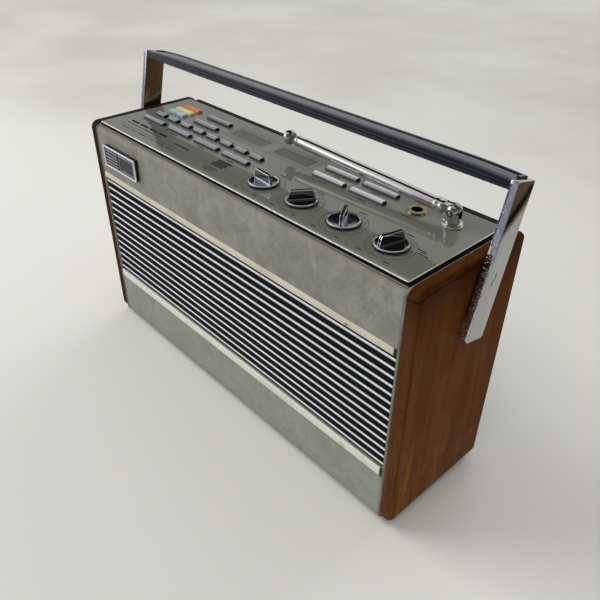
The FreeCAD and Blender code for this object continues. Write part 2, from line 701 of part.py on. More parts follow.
# (radius, height above the panel): stem below, skirt with a raised rim above
KNOB_PROFILE = [
    ("0", "-knob_stem_deep"), ("knob_stem", "-knob_stem_deep"), ("knob_stem", "knob_gap"),
    ("knob_radius", "knob_gap"), ("knob_radius", "knob_gap + 0.9"),
    ("knob_radius - 0.35", "knob_gap + 1.1"), ("knob_radius - 0.35", "knob_gap + 1.6"),
    ("knob_radius - 0.7", "knob_gap + 1.8"), ("knob_radius - 1.1", "knob_gap + 1.7"),
    ("knob_radius - 1.3", "knob_gap + 1.2"), ("0", "knob_gap + 1.2")]
# (distance across the knob, height above the panel) of the finger grip
FIN_OUTLINE = [
    ("-knob_radius + 1.2", "knob_gap + 1.0"), ("knob_radius - 1.2", "knob_gap + 1.0"),
    ("knob_radius - 1.8", "knob_gap + 1.2 + knob_fin_high*0.7"),
    ("knob_radius - 3.2", "knob_gap + 1.2 + knob_fin_high"),
    ("-knob_radius + 3.2", "knob_gap + 1.2 + knob_fin_high"),
    ("-knob_radius + 1.8", "knob_gap + 1.2 + knob_fin_high*0.7")]


def make_knob(i, turn):
    name = f"knob_{i + 1}"
    body = new_body(name, (knob_x(i), "knob_y", "panel_top"), ((0, 0, 1), turn))
    revolve(body, name + "_turned",
            sketch(body, name + "_profile", "XZ_Plane", "0", [KNOB_PROFILE]), "V_Axis")
    pad(body, name + "_fin",
        sketch(body, name + "_fin_outline", "XZ_Plane", "0", [FIN_OUTLINE]),
        "knob_fin_thick", midplane=True)
    piece(body)


def make_socket():
    """Headphone socket: tapered ring on a closed barrel."""
    ring = cone("jack_ring", "jack_flange", "jack_flange - jack_ring_taper", "jack_ring_high",
                ("jack_x", "jack_y", "panel_top"))
    barrel = cylinder("jack_body", "jack_barrel", "jack_deep + jack_floor + jack_overlap",
                      ("jack_x", "jack_y", "panel_top - jack_deep - jack_floor"))
    bore = cylinder("jack_hole_bore", "jack_bore", "jack_deep + 2*overrun",
                    ("jack_x", "jack_y", "panel_top - jack_deep"))
    piece(cut("headphone_socket", fuse("jack_blank", ring, barrel), bore))


# ---- telescopic aerial ---------------------------------------------------
HINGE = ("aerial_x", "aerial_y", "aerial_z")
# The folded aerial points left and rises by this turn about its hinge.
TILT = ((0, 1, 0), "aerial_lift")


def on_aerial(z):
    """A point on the aerial post's upright axis."""
    return "aerial_x", "aerial_y", z


def make_collar():
    rim = cone("collar_rim", "collar_radius", "collar_radius - collar_taper", "collar_high",
               on_aerial("panel_top"))
    stem = cylinder("collar_tube", "collar_stem", "collar_deep + overrun",
                    on_aerial("panel_top - collar_deep"))
    bore = cylinder("collar_bore", "spindle_radius + running_gap",
                    "collar_deep + collar_high + 2*overrun",
                    on_aerial("panel_top - collar_deep - overrun"))
    piece(cut("aerial_collar", fuse("collar_blank", rim, stem), bore))


def make_post():
    """Domed post on a spindle, slotted for the aerial's tongue."""
    barrel = cylinder("post_barrel", "post_radius", "dome_z - post_foot", on_aerial("post_foot"))
    dome = solid("Sphere", "post_dome", {"Radius": "post_radius"}, on_aerial("dome_z"))
    spindle = cylinder("post_spindle", "spindle_radius", "spindle_deep + 0.1",
                       on_aerial("post_foot - spindle_deep"))
    keeper = cylinder("post_keeper", "spindle_radius + keeper_lip", "keeper_thick",
                      on_aerial("panel_top - collar_deep - fit_gap - keeper_thick"))
    slot = box("post_slot",
               ("post_radius + overrun + tongue_radius + tongue_clearance",
                "tongue_thick + 2*running_gap", "post_slot_high"),
               ("aerial_x - post_radius - overrun", "aerial_y - tongue_thick/2 - running_gap",
                "aerial_z - tongue_radius - 0.4"))
    hole = cylinder("post_pin_hole", "pin_radius", "2*post_radius + 2*overrun",
                    ("aerial_x", "aerial_y - post_radius - overrun", "aerial_z"), "y")
    blank = fuse("post_blank", barrel, dome, spindle, keeper)
    piece(cut("aerial_post", blank, slot, hole))


def make_pin():
    """Hinge pin with a nick across its front end."""
    shaft = cylinder("pin_shaft", "pin_radius", "2*(post_radius - pin_sink)",
                     ("aerial_x", "aerial_y - post_radius + pin_sink", "aerial_z"), "y")
    nick = box("pin_nick", ("nick_wide", "nick_deep", "nick_high"),
               ("aerial_x - nick_wide/2", "aerial_y - post_radius + pin_sink/2",
                "aerial_z - nick_high/2"))
    piece(cut("aerial_hinge_pin", shaft, nick))


def along_tube(name, radius, start, end):
    """A round length of the aerial, measured outwards from the hinge."""
    return cylinder(name, radius, f"({end}) - ({start})", (f"-({start})", "0", "0"), "-x")


def make_outer_tube():
    """Grooved ferrule, tube and nose, with a flat tongue and eye at the hinge."""
    outside = [
        along_tube("ferrule_back", "tube_radius + 0.5", "tube_start", "tube_start + 2.6"),
        along_tube("ferrule_groove", "tube_radius + 0.1", "tube_start + 2.6", "tube_start + 3.5"),
        along_tube("ferrule_front", "tube_radius + 0.5", "tube_start + 3.5", "tube_start + 6"),
        along_tube("tube_wall", "tube_radius", "tube_start + 6", "nose_start"),
        cone("tube_nose", "tube_radius", "second_radius + 0.35", "lip_start - nose_start",
             ("-nose_start", "0", "0"), "-x"),
        along_tube("tube_lip", "second_radius + 0.55", "lip_start", "tube_end"),
        box("tube_tongue", ("tube_start + 0.2", "tongue_thick", "2*tongue_radius"),
            ("-tube_start - 0.2", "-tongue_thick/2", "-tongue_radius")),
        cylinder("tube_eye", "tongue_radius", "tongue_thick", ("0", "-tongue_thick/2", "0"), "y")]
    inside = [
        along_tube("tube_bore_main", "tube_bore", "tube_start + 7", "nose_start"),
        along_tube("tube_bore_nose", "second_radius + running_gap",
                   "nose_start - overrun", "tube_end + overrun"),
        cylinder("tube_eye_hole", "pin_radius + running_gap", "tongue_thick + 2*overrun",
                 ("0", "-tongue_thick/2 - overrun", "0"), "y")]
    tube = cut("aerial_outer_tube", fuse("tube_blank", *outside), *inside)
    piece(place(tube, HINGE, TILT))


def make_section(word, outer_bore, inner_radius, start, end):
    """Hollow section: a wide foot sliding in outer_bore, a nose bored for the next section."""
    blank = fuse(word + "_blank",
                 along_tube(word + "_wall", word + "_radius", start, end),
                 along_tube(word + "_foot", outer_bore + " - running_gap", start,
                            start + " + section_foot"))
    hollow = along_tube(word + "_hollow", word + "_bore", start + " - overrun",
                        "tube_end - section_nose")
    nose = along_tube(word + "_nose", inner_radius + " + running_gap",
                      "tube_end - section_nose - overrun", end + " + overrun")
    piece(place(cut(f"aerial_{word}_section", blank, hollow, nose), HINGE, TILT))


# (x from the hinge, radius): foot, rod and end button
TIP_PROFILE = [
    ("-(tube_start + 13)", "0"), ("-(tube_start + 13)", "third_bore - running_gap"),
    ("-(tube_start + 17)", "third_bore - running_gap"), ("-(tube_start + 17)", "tip_radius"),
    ("-(tube_end + 4.6)", "tip_radius"), ("-(tube_end + 4.6)", "button_radius - 1.6"),
    ("-(tube_end + 5.2)", "button_radius - 0.5"), ("-(tube_end + 6.4)", "button_radius"),
    ("-(tube_end + 8.0)", "button_radius"), ("-(tube_end + 9.3)", "button_radius - 0.6"),
    ("-(tube_end + 10.1)", "button_radius - 1.9"), ("-(tube_end + 10.4)", "0")]


def make_tip():
    body = new_body("aerial_tip_section", HINGE, TILT)
    revolve(body, "tip_turned",
            sketch(body, "tip_profile", "XZ_Plane", "0", [TIP_PROFILE]), "H_Axis")
    piece(body)


# ---- carrying handle: modelled upright about its pivot, then leaned back --
def handle_body(name):
    return new_body(name, ("0", "pivot_y", "pivot_z"), ((1, 0, 0), "-handle_lean"))


# (y, z) from the pivot
ARM_OUTLINE = [
    ("-arm_half", "arm_high"), ("-arm_low_front", "-arm_bottom + 1.2"),
    ("-arm_low_front + 1.2", "-arm_bottom"), ("arm_low_back - 1.7", "-arm_bottom"),
    ("arm_low_back", "-arm_bottom + 1.7"), ("arm_half", "arm_high")]


def make_arm(side, word):
    name = word + "_handle_arm"
    body = handle_body(name)
    start = "arm_inner" if side > 0 else "-arm_inner - arm_thick"
    pad(body, name + "_bar",
        sketch(body, name + "_outline", "YZ_Plane", start, [ARM_OUTLINE]), "arm_thick")
    toe_z = number("-arm_bottom/2")
    dress(body, "Fillet", name + "_toe", "arm_toe",
          lambda edge: along_x(edge) and edge.CenterOfMass.z < toe_z)
    face_x = side * number("arm_inner + arm_thick")
    dress(body, "Chamfer", name + "_bevel", "arm_bevel", lambda edge: lies(edge, "X", face_x))
    seat = sketch(body, name + "_seat", "YZ_Plane", f"{side}*arm_inner",
                  circles=[("0", "0", "stud_radius")])
    pocket(body, name + "_seat_hole", seat, "stud_seat", reverse=side > 0)
    piece(body)


def grip_outline():
    """(y, z) from the pivot: ribs up the front, a channel for the inlay on top."""
    points = [("-grip_front + 1.2", "grip_low")]
    for i in range(GRIP_RIB_COUNT):
        base = f"grip_low + rib_first + {i}*rib_pitch"
        points += [("-grip_front + 0.7", base), ("-grip_front", base + " + 0.35"),
                   ("-grip_front", base + " + 1.0"), ("-grip_front + 0.7", base + " + 1.35")]
    return points + [
        ("-grip_front + 0.9", "grip_high - 0.7"), ("-grip_front + 2.2", "grip_high - 0.25"),
        ("inlay_front - 1.6", "grip_high"), ("inlay_front", "grip_high"),
        ("inlay_front", "inlay_floor"), ("inlay_back", "inlay_floor"),
        ("inlay_back", "grip_lip"), ("grip_back - 0.5", "grip_lip"),
        ("grip_back", "grip_lip - 0.5"), ("grip_back", "grip_low + 1.0"),
        ("grip_back - 1.0", "grip_low")]


def make_grip():
    body = handle_body("handle_grip")
    pad(body, "grip_moulding",
        sketch(body, "grip_profile", "YZ_Plane", "-arm_inner", [grip_outline()]), "2*arm_inner")
    piece(body)


def make_inlay():
    """Bar with eased top edges in the grip's channel."""
    body = handle_body("grip_inlay")
    section = [
        ("inlay_front + inlay_gap", "inlay_floor"), ("inlay_back - inlay_gap", "inlay_floor"),
        ("inlay_back - inlay_gap", "inlay_top - 0.2"), ("inlay_back - 0.4", "inlay_top"),
        ("inlay_front + 0.4", "inlay_top"), ("inlay_front + inlay_gap", "inlay_top - 0.2")]
    pad(body, "inlay_bar",
        sketch(body, "inlay_profile", "YZ_Plane", "-arm_inner + fit_gap", [section]),
        "2*(arm_inner - fit_gap)")
    piece(body)


def make_pivots():
    """Studs through the cheeks: nut inside, boss between cheek and arm."""
    studs = []
    for side, word in SIDES:
        axis = "x" if side > 0 else "-x"
        at = (f"{side}*stud_start", "pivot_y", "pivot_z")
        nut = cylinder(word + "_stud_nut", "stud_radius + nut_lip", "nut_thick", at, axis)
        shaft = cylinder(word + "_stud_shaft", "stud_radius",
                         "arm_inner + stud_seat - stud_start", at, axis)
        boss = cylinder(word + "_stud_boss", "boss_radius", "arm_inner - cab_width/2 - fit_gap",
                        (f"{side}*(cab_width/2 + fit_gap)", "pivot_y", "pivot_z"), axis)
        studs.append(fuse(word + "_stud", nut, shaft, boss))
    piece(group("handle_pivots", *studs))


# ---- inside the cabinet --------------------------------------------------
# Blocks on the back of the main board: (left x, bottom z, width, height, depth)
COMPONENTS = (
    (-128, 30, 22, 22, 9), (-98, 34, 14, 14, 6), (-74, 28, 26, 12, 5), (-40, 30, 12, 30, 8),
    (-20, 70, 18, 18, 7), (-124, 80, 16, 24, 10), (-96, 84, 30, 10, 4), (-58, 96, 12, 12, 9),
    (-6, 34, 10, 16, 8), (-30, 110, 24, 10, 5))
ROD_CLIP_LEFTS = (-80, 0)


def make_main_board():
    """Upright board standing on two rails."""
    items = [box("main_sheet", ("main_long", "board_thick", "main_high"),
                 ("main_left", "main_y", "sleeve_floor + main_lift"))]
    for i, (x, z, width, height, depth) in enumerate(COMPONENTS):
        items.append(box(f"component_{i}", (width, depth, height), (x, "main_face", z)))
    for i, x in enumerate(("main_left", "main_left + main_long - main_rail")):
        items.append(box(f"rail_{i}", ("main_rail", "main_rail", "main_lift"),
                         (x, "main_rail_y", "sleeve_floor")))
    piece(group("main_circuit_board", *items))


def make_ferrite():
    """Ferrite rod with one winding, lying in two clips on the main board."""
    def on_rod(name, radius, length, x):
        return cylinder(name, radius, length, (x, "rod_y", "rod_z"), "x")

    rod = on_rod("rod_core", "rod_radius", "rod_long", "rod_left")
    coil = on_rod("rod_coil", "coil_radius", "coil_long", "coil_left")
    hole = on_rod("rod_coil_hole", "rod_radius", "coil_long + 2*overrun", "coil_left - overrun")
    holders = [cut("rod_winding", coil, hole)]
    for i, x in enumerate(ROD_CLIP_LEFTS):
        block = box(f"rod_clip_block_{i}", ("clip_wide", "clip_deep", "clip_high"),
                    (x, "main_face", "clip_z"))
        bed = on_rod(f"rod_clip_bed_{i}", "rod_radius", "clip_wide + 2*overrun",
                     f"{x} - overrun")
        holders.append(cut(f"rod_clip_{i}", block, bed))
    piece(group("ferrite_aerial", rod, *holders))


def make_battery_holder():
    """Open tub with one rib along its middle."""
    inner_left = "battery_left + battery_wall"
    inner_long = "battery_long - 2*battery_wall"
    inner_floor = "sleeve_floor + battery_wall"
    tub = box("battery_tub", ("battery_long", "battery_deep", "battery_high"),
              ("battery_left", "battery_front", "sleeve_floor"))
    void = box("battery_void", (inner_long, "battery_deep - 2*battery_wall", "battery_high"),
               (inner_left, "battery_front + battery_wall", inner_floor))
    rib = box("battery_rib", (inner_long, "battery_rib", "battery_rib_high"),
              (inner_left, "battery_front + battery_deep/2 - battery_rib/2", inner_floor))
    piece(fuse("battery_holder", cut("battery_shell", tub, void), rib))


# ---- check and write -----------------------------------------------------
def check():
    """Stop if any object failed or any piece has no valid solid."""
    doc.recompute()
    bad = [f"{obj.Name} {obj.State}" for obj in doc.Objects
           if "Invalid" in obj.State or "Error" in obj.State]
    for name, obj in pieces.items():
        shape = obj.Shape
        if shape.isNull() or not shape.isValid() or not shape.Solids:
            bad.append(name + " shape")
    if bad:
        raise RuntimeError("; ".join(bad))


def export():
    os.makedirs("parts", exist_ok=True)
    for old in os.listdir("parts"):
        if old.endswith(".step"):
            os.remove(os.path.join("parts", old))
    for name, obj in pieces.items():
        obj.Shape.exportStep(f"parts/{name}.step")


for side, word in SIDES:
    make_cheek(side, word)
make_pipings()
make_sleeve()
make_back_cover()
make_back_screws()
make_feet()
make_cloth()
make_strips()
make_trims()
make_badge()
make_speaker()
for key in KEYS:
    make_key(*key)
make_control_panel()
make_gasket()
make_windows()
make_switch_board()
make_pots()
for i, turn in enumerate(KNOB_TURNS):
    make_knob(i, turn)
make_socket()
make_collar()
make_post()
make_pin()
make_outer_tube()
make_section("second", "tube_bore", "third_radius", "tube_start + 9", "tube_end + 1.2")
make_section("third", "second_bore", "tip_radius", "tube_start + 11", "tube_end + 2.4")
make_tip()
for side, word in SIDES:
    make_arm(side, word)
make_grip()
make_inlay()
make_pivots()
make_main_board()
make_ferrite()
make_battery_holder()
check()
export()
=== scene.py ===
"""A portable radio: leathercloth sleeve between wooden sides, grille in front, controls on top.

It stands on z = 0 with x from left to right, the front towards -y and the panel facing +z.
Shapes are written in millimetres and become metres when a mesh is made.
"""
import json
import math
import bmesh
import bpy
import numpy as np
from mathutils import Matrix, Vector, noise

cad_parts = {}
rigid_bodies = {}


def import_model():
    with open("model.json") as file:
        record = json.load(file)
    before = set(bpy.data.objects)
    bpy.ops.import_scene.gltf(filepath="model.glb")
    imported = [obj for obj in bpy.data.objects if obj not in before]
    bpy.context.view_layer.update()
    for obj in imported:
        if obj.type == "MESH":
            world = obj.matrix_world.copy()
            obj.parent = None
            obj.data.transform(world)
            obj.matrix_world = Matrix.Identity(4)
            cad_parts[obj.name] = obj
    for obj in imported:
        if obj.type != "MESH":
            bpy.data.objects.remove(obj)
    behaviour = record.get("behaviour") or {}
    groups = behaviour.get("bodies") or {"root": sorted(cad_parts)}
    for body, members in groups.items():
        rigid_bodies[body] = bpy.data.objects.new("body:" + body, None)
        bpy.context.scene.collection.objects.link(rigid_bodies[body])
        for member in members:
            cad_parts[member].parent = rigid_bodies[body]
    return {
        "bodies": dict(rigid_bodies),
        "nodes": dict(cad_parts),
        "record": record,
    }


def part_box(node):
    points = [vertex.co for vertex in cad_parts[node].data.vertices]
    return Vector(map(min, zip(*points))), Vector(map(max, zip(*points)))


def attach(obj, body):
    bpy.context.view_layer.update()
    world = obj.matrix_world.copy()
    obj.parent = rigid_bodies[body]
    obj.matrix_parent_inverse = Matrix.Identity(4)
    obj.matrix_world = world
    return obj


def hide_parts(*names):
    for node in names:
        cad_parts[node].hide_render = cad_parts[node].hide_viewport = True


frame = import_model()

scene = bpy.context.scene
NODES, BODIES = frame["nodes"], frame["bodies"]
keep = {o.name for o in NODES.values()} | {o.name for o in BODIES.values()}
for obj in list(bpy.data.objects):
    if obj.name not in keep:
        bpy.data.objects.remove(obj)
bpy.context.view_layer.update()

MM = 0.001
HOME = {node: body for body, nodes in frame["record"]["behaviour"]["bodies"].items()
        for node in nodes}
SLOT = {part["node"]: part["material_slot"] for part in frame["record"]["subparts"]}

PANEL_TOP = 167.0
KNOB_X = [17.5 + 32.1 * i for i in range(4)]
KNOB_Y = -21.0
AERIAL_X, AERIAL_Y, HINGE_Z = 121, 18.5, 175.0

# a fold and the painted shade in it share two strokes on the front, right of the badge:
# they cross at (x, z) and lean by a slope dx/dz
STROKE_X, STROKE_Z = -89.0, 150.0
STROKE_SLOPES = (-0.42, 0.10)


def box_mm(node):
    low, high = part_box(node)
    return low / MM, high / MM


# =====================================================================
# shader graphs written as expressions
# =====================================================================
def linear(colour):
    """Three numbers are sRGB out of 255; four are already linear."""
    if len(colour) == 4:
        return colour
    parts = [c / 255 for c in colour]
    return (*(c / 12.92 if c <= 0.04045 else ((c + 0.055) / 1.055) ** 2.4 for c in parts), 1.0)


class Value:
    """An output socket that takes arithmetic. Vector sockets use vector maths."""

    def __init__(self, graph, socket):
        self.graph, self.socket = graph, socket

    def other(self, output):
        """Another output of the same node."""
        return Value(self.graph, self.socket.node.outputs[output])

    def op(self, operation, *others):
        return self.graph.maths(operation, self, *others)

    def __add__(self, other):
        return self.op("ADD", other)

    def __radd__(self, other):
        return self.graph.maths("ADD", other, self)

    def __sub__(self, other):
        return self.op("SUBTRACT", other)

    def __rsub__(self, other):
        return self.graph.maths("SUBTRACT", other, self)

    def __mul__(self, other):
        return self.op("MULTIPLY", other)

    def __pow__(self, other):
        return self.op("POWER", other)

    def __abs__(self):
        return self.op("ABSOLUTE")

    def map(self, start, end, to=(0.0, 1.0), smooth=False):
        """Carries start..end over to the range `to`, clamped. start may be above end."""
        return self.graph.node("MapRange", dict(enumerate((self, start, end, *to))), clamp=True,
                               interpolation_type="SMOOTHSTEP" if smooth else "LINEAR")

    def band(self, low, high, soft):
        """1 between low and high, with edges 2 * soft wide."""
        return self.map(low - soft, low + soft) * self.map(high + soft, high - soft)

    def painted(self, amount, colour):
        return self.graph.mix(amount, self, colour)


def most(a, b):
    return a.op("MAXIMUM", b)


def least(a, b):
    return a.op("MINIMUM", b)


def sine(value):
    return value.op("SINE")


class Graph:
    """Adds nodes to a cleared node tree."""

    def __init__(self, tree):
        self.tree = tree
        tree.nodes.clear()

    def add(self, kind, **props):
        node = self.tree.nodes.new("ShaderNode" + kind)
        for key, value in props.items():
            setattr(node, key, value)
        return node

    def put(self, socket, value):
        if isinstance(value, Value):
            self.tree.links.new(value.socket, socket)
        else:
            socket.default_value = linear(value) if socket.type == "RGBA" else value

    def node(self, kind, inputs, output=0, **props):
        """Adds a node, fills inputs {socket: value} and returns one output."""
        node = self.add(kind, **props)
        for socket, value in inputs.items():
            self.put(node.inputs[socket], value)
        return Value(self, node.outputs[output])

    def maths(self, operation, *operands):
        first = operands[0]
        is_vector = isinstance(first, Value) and first.socket.type == "VECTOR"
        return self.node("VectorMath" if is_vector else "Math", dict(enumerate(operands)),
                         operation=operation)

    def split(self, vector):
        first = self.node("SeparateXYZ", {0: vector})
        return [first.other(k) for k in range(3)]

    def join(self, x, y, z):
        return self.node("CombineXYZ", {0: x, 1: y, 2: z})

    def mix(self, amount, a, b, blend="MIX"):
        """Colour a turning into colour b."""
        return self.node("Mix", {0: amount, 6: a, 7: b}, 2, data_type="RGBA", blend_type=blend)

    def lerp(self, amount, a, b):
        return self.node("Mix", {0: amount, 2: a, 3: b}, data_type="FLOAT")

    def ramp(self, value, *stops):
        """Colour ramp with (position, colour) stops."""
        node = self.add("ValToRGB")
        elements = node.color_ramp.elements
        while len(elements) > 1:
            elements.remove(elements[-1])
        for i, (position, colour) in enumerate(stops):
            stop = elements[0] if i == 0 else elements.new(position)
            stop.position, stop.color = position, linear(colour)
        self.put(node.inputs[0], value)
        return Value(self, node.outputs[0])


SHADER_INPUTS = {
    "metal": "Metallic", "rough": "Roughness", "spec": "Specular IOR Level",
    "coat": "Coat Weight", "coat_rough": "Coat Roughness", "coat_ior": "Coat IOR",
    "sheen": "Sheen Weight", "sheen_rough": "Sheen Roughness"}


class Material(Graph):
    """A material painted in layers over `base`, in millimetres of the rest pose.

    face_x, face_y and face_z are the parts of the surface normal.
    """

    def __init__(self, name):
        self.made = bpy.data.materials.new(name)
        self.made.use_nodes = True
        super().__init__(self.made.node_tree)
        self.bsdf = self.add("BsdfPrincipled")
        self.put(self.add("OutputMaterial").inputs[0], Value(self, self.bsdf.outputs[0]))
        coords = self.node("TexCoord", {}, "Object")
        self.place = coords * (1000, 1000, 1000)
        self.x, self.y, self.z = self.split(self.place)
        self.face_x, self.face_y, self.face_z = self.split(coords.other("Normal"))

    def moved(self, at, shift, stretch):
        at = at or self.place
        if shift:
            at = at + shift
        return at * stretch if stretch else at

    def noise(self, scale, detail=3.0, rough=0.5, twist=0.0, at=None, shift=None, stretch=None):
        """Cloudy noise. A small stretch along an axis draws the pattern out along it."""
        return self.node("TexNoise", {
            "Vector": self.moved(at, shift, stretch), "Scale": scale, "Detail": detail,
            "Roughness": rough, "Distortion": twist})

    def cells(self, scale, feature="F1", shift=None, stretch=None):
        """Distance to the nearest of scattered points, or to the edge between cells."""
        return self.node("TexVoronoi", {
            "Vector": self.moved(None, shift, stretch), "Scale": scale}, "Distance",
            feature=feature)

    def dust(self):
        """Slow patches, 0 to 1, for handling marks."""
        return self.noise(0.045, detail=4, rough=0.6).map(0.38, 0.66)

    def paint(self, amount, colour, blend="MIX"):
        self.base = self.mix(amount, self.base, colour, blend)

    def finish(self, relief, strength, round_mm=0.0, **inputs):
        """relief is the bump height in millimetres; round_mm softens edges in shading."""
        bump = {"Strength": strength, "Distance": MM, "Height": relief}
        if round_mm:
            bump["Normal"] = self.node("Bevel", {"Radius": round_mm * MM}, samples=4)
        self.put(self.bsdf.inputs["Normal"], self.node("Bump", bump))
        self.put(self.bsdf.inputs["Base Color"], self.base)
        for key, value in inputs.items():
            self.put(self.bsdf.inputs[SHADER_INPUTS[key]], value)
        return self.made


# =====================================================================
# materials
# =====================================================================
def leathercloth():
    mat = Material("leathercloth")
    cloud = mat.noise(0.022, detail=5, rough=0.62, twist=0.6)
    blotch = mat.noise(0.10, detail=5, rough=0.7, twist=0.4, shift=(31, 7, 3))
    speckle = mat.noise(1.1, rough=0.6)
    streak = mat.noise(0.09, detail=4, rough=0.65, twist=0.8, shift=(5, 0, 1),
                       stretch=(1.0, 1.0, 0.45))
    mat.base = mat.ramp(cloud, (0.30, (130, 131, 124)), (0.52, (145, 146, 139)),
                        (0.72, (160, 161, 153)))
    mat.paint(blotch.map(0.42, 0.66), (125, 126, 119))
    mat.paint(streak.map(0.52, 0.68) * 0.55, (164, 165, 156))
    mat.paint(speckle.map(0.45, 0.7) * 0.30, (176, 177, 170))
    # painted light: lighter low down, standing for light thrown back up by the floor
    mat.paint(mat.z.map(50.0, 36.0) * 0.30, (166, 168, 164))
    # grime along the upper edge and the top lip in front of the panel
    edge = mat.z.map(157.0, 163.0) * mat.noise(0.12, detail=4, rough=0.7).map(0.34, 0.6)
    mat.paint(edge * 0.35, (146, 140, 122))
    patches = mat.noise(0.10, detail=4, rough=0.7).map(0.30, 0.62)
    lip = mat.z.map(162.0, 164.6) * mat.y.map(-39.0, -41.5) * patches
    mat.paint(lip * 0.6, (112, 98, 76))
    mat.paint(mat.z.map(12.0, 4.0) * 0.35, (108, 106, 98))
    # painted shade in the fold along the two strokes
    across = mat.x - STROKE_X
    narrow, wide = [abs(across - (mat.z - STROKE_Z) * slope) for slope in STROKE_SLOPES]
    inside = mat.z.map(148.0, 152.0) * mat.z.map(163.5, 161.0)
    fold_shade = most(narrow.map(1.3, 0.2), wide.map(1.8, 0.3) * 0.7) * inside
    front = mat.face_y.map(-0.2, -0.7)
    fold_shade = fold_shade * (front * mat.noise(0.5, rough=0.6).map(0.25, 0.6))
    mat.paint(fold_shade * 0.75, (92, 86, 76))
    # long scuffs
    scuff = mat.noise(1.0, detail=2, shift=(4, 0, 9), stretch=(0.05, 0.4, 0.9))
    scuff = scuff.map(0.66, 0.72) * mat.noise(0.03, detail=2).map(0.45, 0.6)
    mat.paint(scuff * 0.45, (188, 188, 180))
    # leather grain with darker creases
    wander = mat.join(*(mat.noise(scale, detail=2) for scale in (0.8, 0.9, 1.0)))
    grain = mat.cells(1.05, "DISTANCE_TO_EDGE", shift=wander * (1.2, 1.2, 1.2)).map(0.0, 0.22)
    mat.paint((1.0 - grain) * 0.34, (106, 106, 99))
    return mat.finish(grain * 0.045 + mat.noise(3.2, detail=2) * 0.02, strength=0.8,
                      rough=cloud.map(0.3, 0.7, to=(0.52, 0.68)), spec=0.22, sheen=0.12,
                      sheen_rough=0.4)


def piping_skin():
    mat = Material("piping")
    cloud = mat.noise(0.18, detail=4, rough=0.6)
    mat.base = mat.ramp(cloud, (0.3, (96, 98, 92)), (0.55, (118, 120, 112)),
                        (0.75, (134, 135, 127)))
    mat.paint(mat.noise(0.9, rough=0.7).map(0.60, 0.72) * 0.6, (74, 70, 62))
    return mat.finish(mat.noise(2.4) * 0.03, strength=0.7,
                      rough=cloud.map(0.3, 0.7, to=(0.36, 0.55)))


def wood():
    mat = Material("wood")
    # the grain runs up z and wanders sideways
    warp = mat.join(mat.noise(0.03, stretch=(1, 1, 0.22)),
                    mat.noise(0.026, stretch=(1, 1, 0.2)), 0.0) * (22, 26, 0)
    warped = mat.place + warp
    figure = mat.noise(0.16, detail=5, rough=0.62, twist=0.3, at=warped,
                       stretch=(0.5, 1.0, 0.035))
    lines = mat.noise(1.0, detail=4, rough=0.65, twist=0.2, at=warped, stretch=(1.0, 1.0, 0.018))
    mat.base = mat.ramp(figure, (0.28, (92, 58, 32)), (0.45, (107, 69, 39)),
                        (0.58, (117, 77, 44)), (0.76, (128, 86, 50)))
    mat.paint(lines.map(0.46, 0.66) * 0.30, (84, 50, 26))
    mat.paint(lines.map(0.42, 0.30) * 0.22, (140, 96, 54))
    pore = mat.noise(1.0, detail=2, stretch=(3.2, 3.2, 0.10)).map(0.60, 0.70)
    mat.paint(pore * 0.4, (56, 34, 18))
    # lighter lipping down the front edge, part its own tone and part a painted highlight, with a
    # line of painted shade on the rounding beside it
    mottle = mat.noise(0.22, detail=4, rough=0.65, stretch=(1, 1, 0.25))
    lip = mat.face_y.map(-0.55, -0.8) * mottle.map(0.20, 0.55, to=(0.55, 1.0))
    mat.paint(mat.face_y.band(-0.62, -0.30, soft=0.08) * 0.40, (60, 30, 12))
    mat.paint(lip * 0.35, (112, 74, 52))
    # pale figure low down and towards the front
    flame = mat.noise(0.35, rough=0.6, twist=0.3, shift=(7, 0, 0), stretch=(0.6, 0.6, 0.05))
    pale = flame.map(0.50, 0.66) * mat.z.map(85.0, 40.0) * mat.y.map(22.0, -18.0)
    mat.paint(pale * 0.55, (150, 118, 74))
    # darker towards the top, part darker figure and part painted shadow of the handle arm; worn
    # on the upward face, with a painted shade line beside it
    mat.paint(mat.z.map(90.0, 158.0) * 0.30 + mat.z.map(150.0, 161.0) * 0.40, (60, 32, 14))
    worn = mat.noise(0.25, detail=4, rough=0.65, stretch=(1, 0.3, 1)).map(0.34, 0.62)
    top = mat.face_z.map(0.25, 0.5) * mat.z.map(140.0, 150.0)
    mat.paint(top * 0.8, mat.mix(worn, (50, 31, 18), (84, 56, 32)))
    # painted shade along the line where the top edge turns down to the side
    edge_turn_shade = mat.face_z.band(0.03, 0.30, soft=0.06) * mat.z.map(140.0, 150.0)
    mat.paint(edge_turn_shade * worn.map(0.0, 1.0, to=(0.9, 0.5)), (34, 15, 5))
    grime = abs(mat.face_x).map(0.10, 0.02) * mat.noise(0.25).map(0.40, 0.62)
    mat.paint(grime * 0.30, (62, 42, 26))
    # short pale nicks low on the front edge
    front = mat.face_y.map(-0.4, -0.8)
    nick = mat.cells(1.0, shift=(2, 0, 3), stretch=(0.5, 0.5, 0.16)).map(0.10, 0.05)
    mat.paint(nick * front * mat.z.map(45.0, 20.0) * 0.8, (206, 160, 118))
    dent = mat.cells(0.085).map(0.10, 0.02) * abs(mat.face_x).map(0.95, 0.6)
    mat.paint(dent * 0.8, (40, 24, 14))
    stain = mat.mix(lip, (0.90, 0.70, 0.27, 1), (0.76, 0.70, 0.62, 1))
    mat.paint(1.0, stain, blend="MULTIPLY")
    # dark front and top edges of the left side
    edges = most(mat.face_y.map(-0.15, -0.4), mat.face_z.map(0.15, 0.4))
    mat.paint(mat.x.map(-141.0, -142.0) * edges * 0.82, (38, 21, 13))
    return mat.finish(lines * 0.03 - (pore * 0.05 + dent * 0.25), strength=0.7,
                      rough=0.42 + mat.dust() * 0.2, spec=0.03, coat=0.01, coat_rough=0.3)


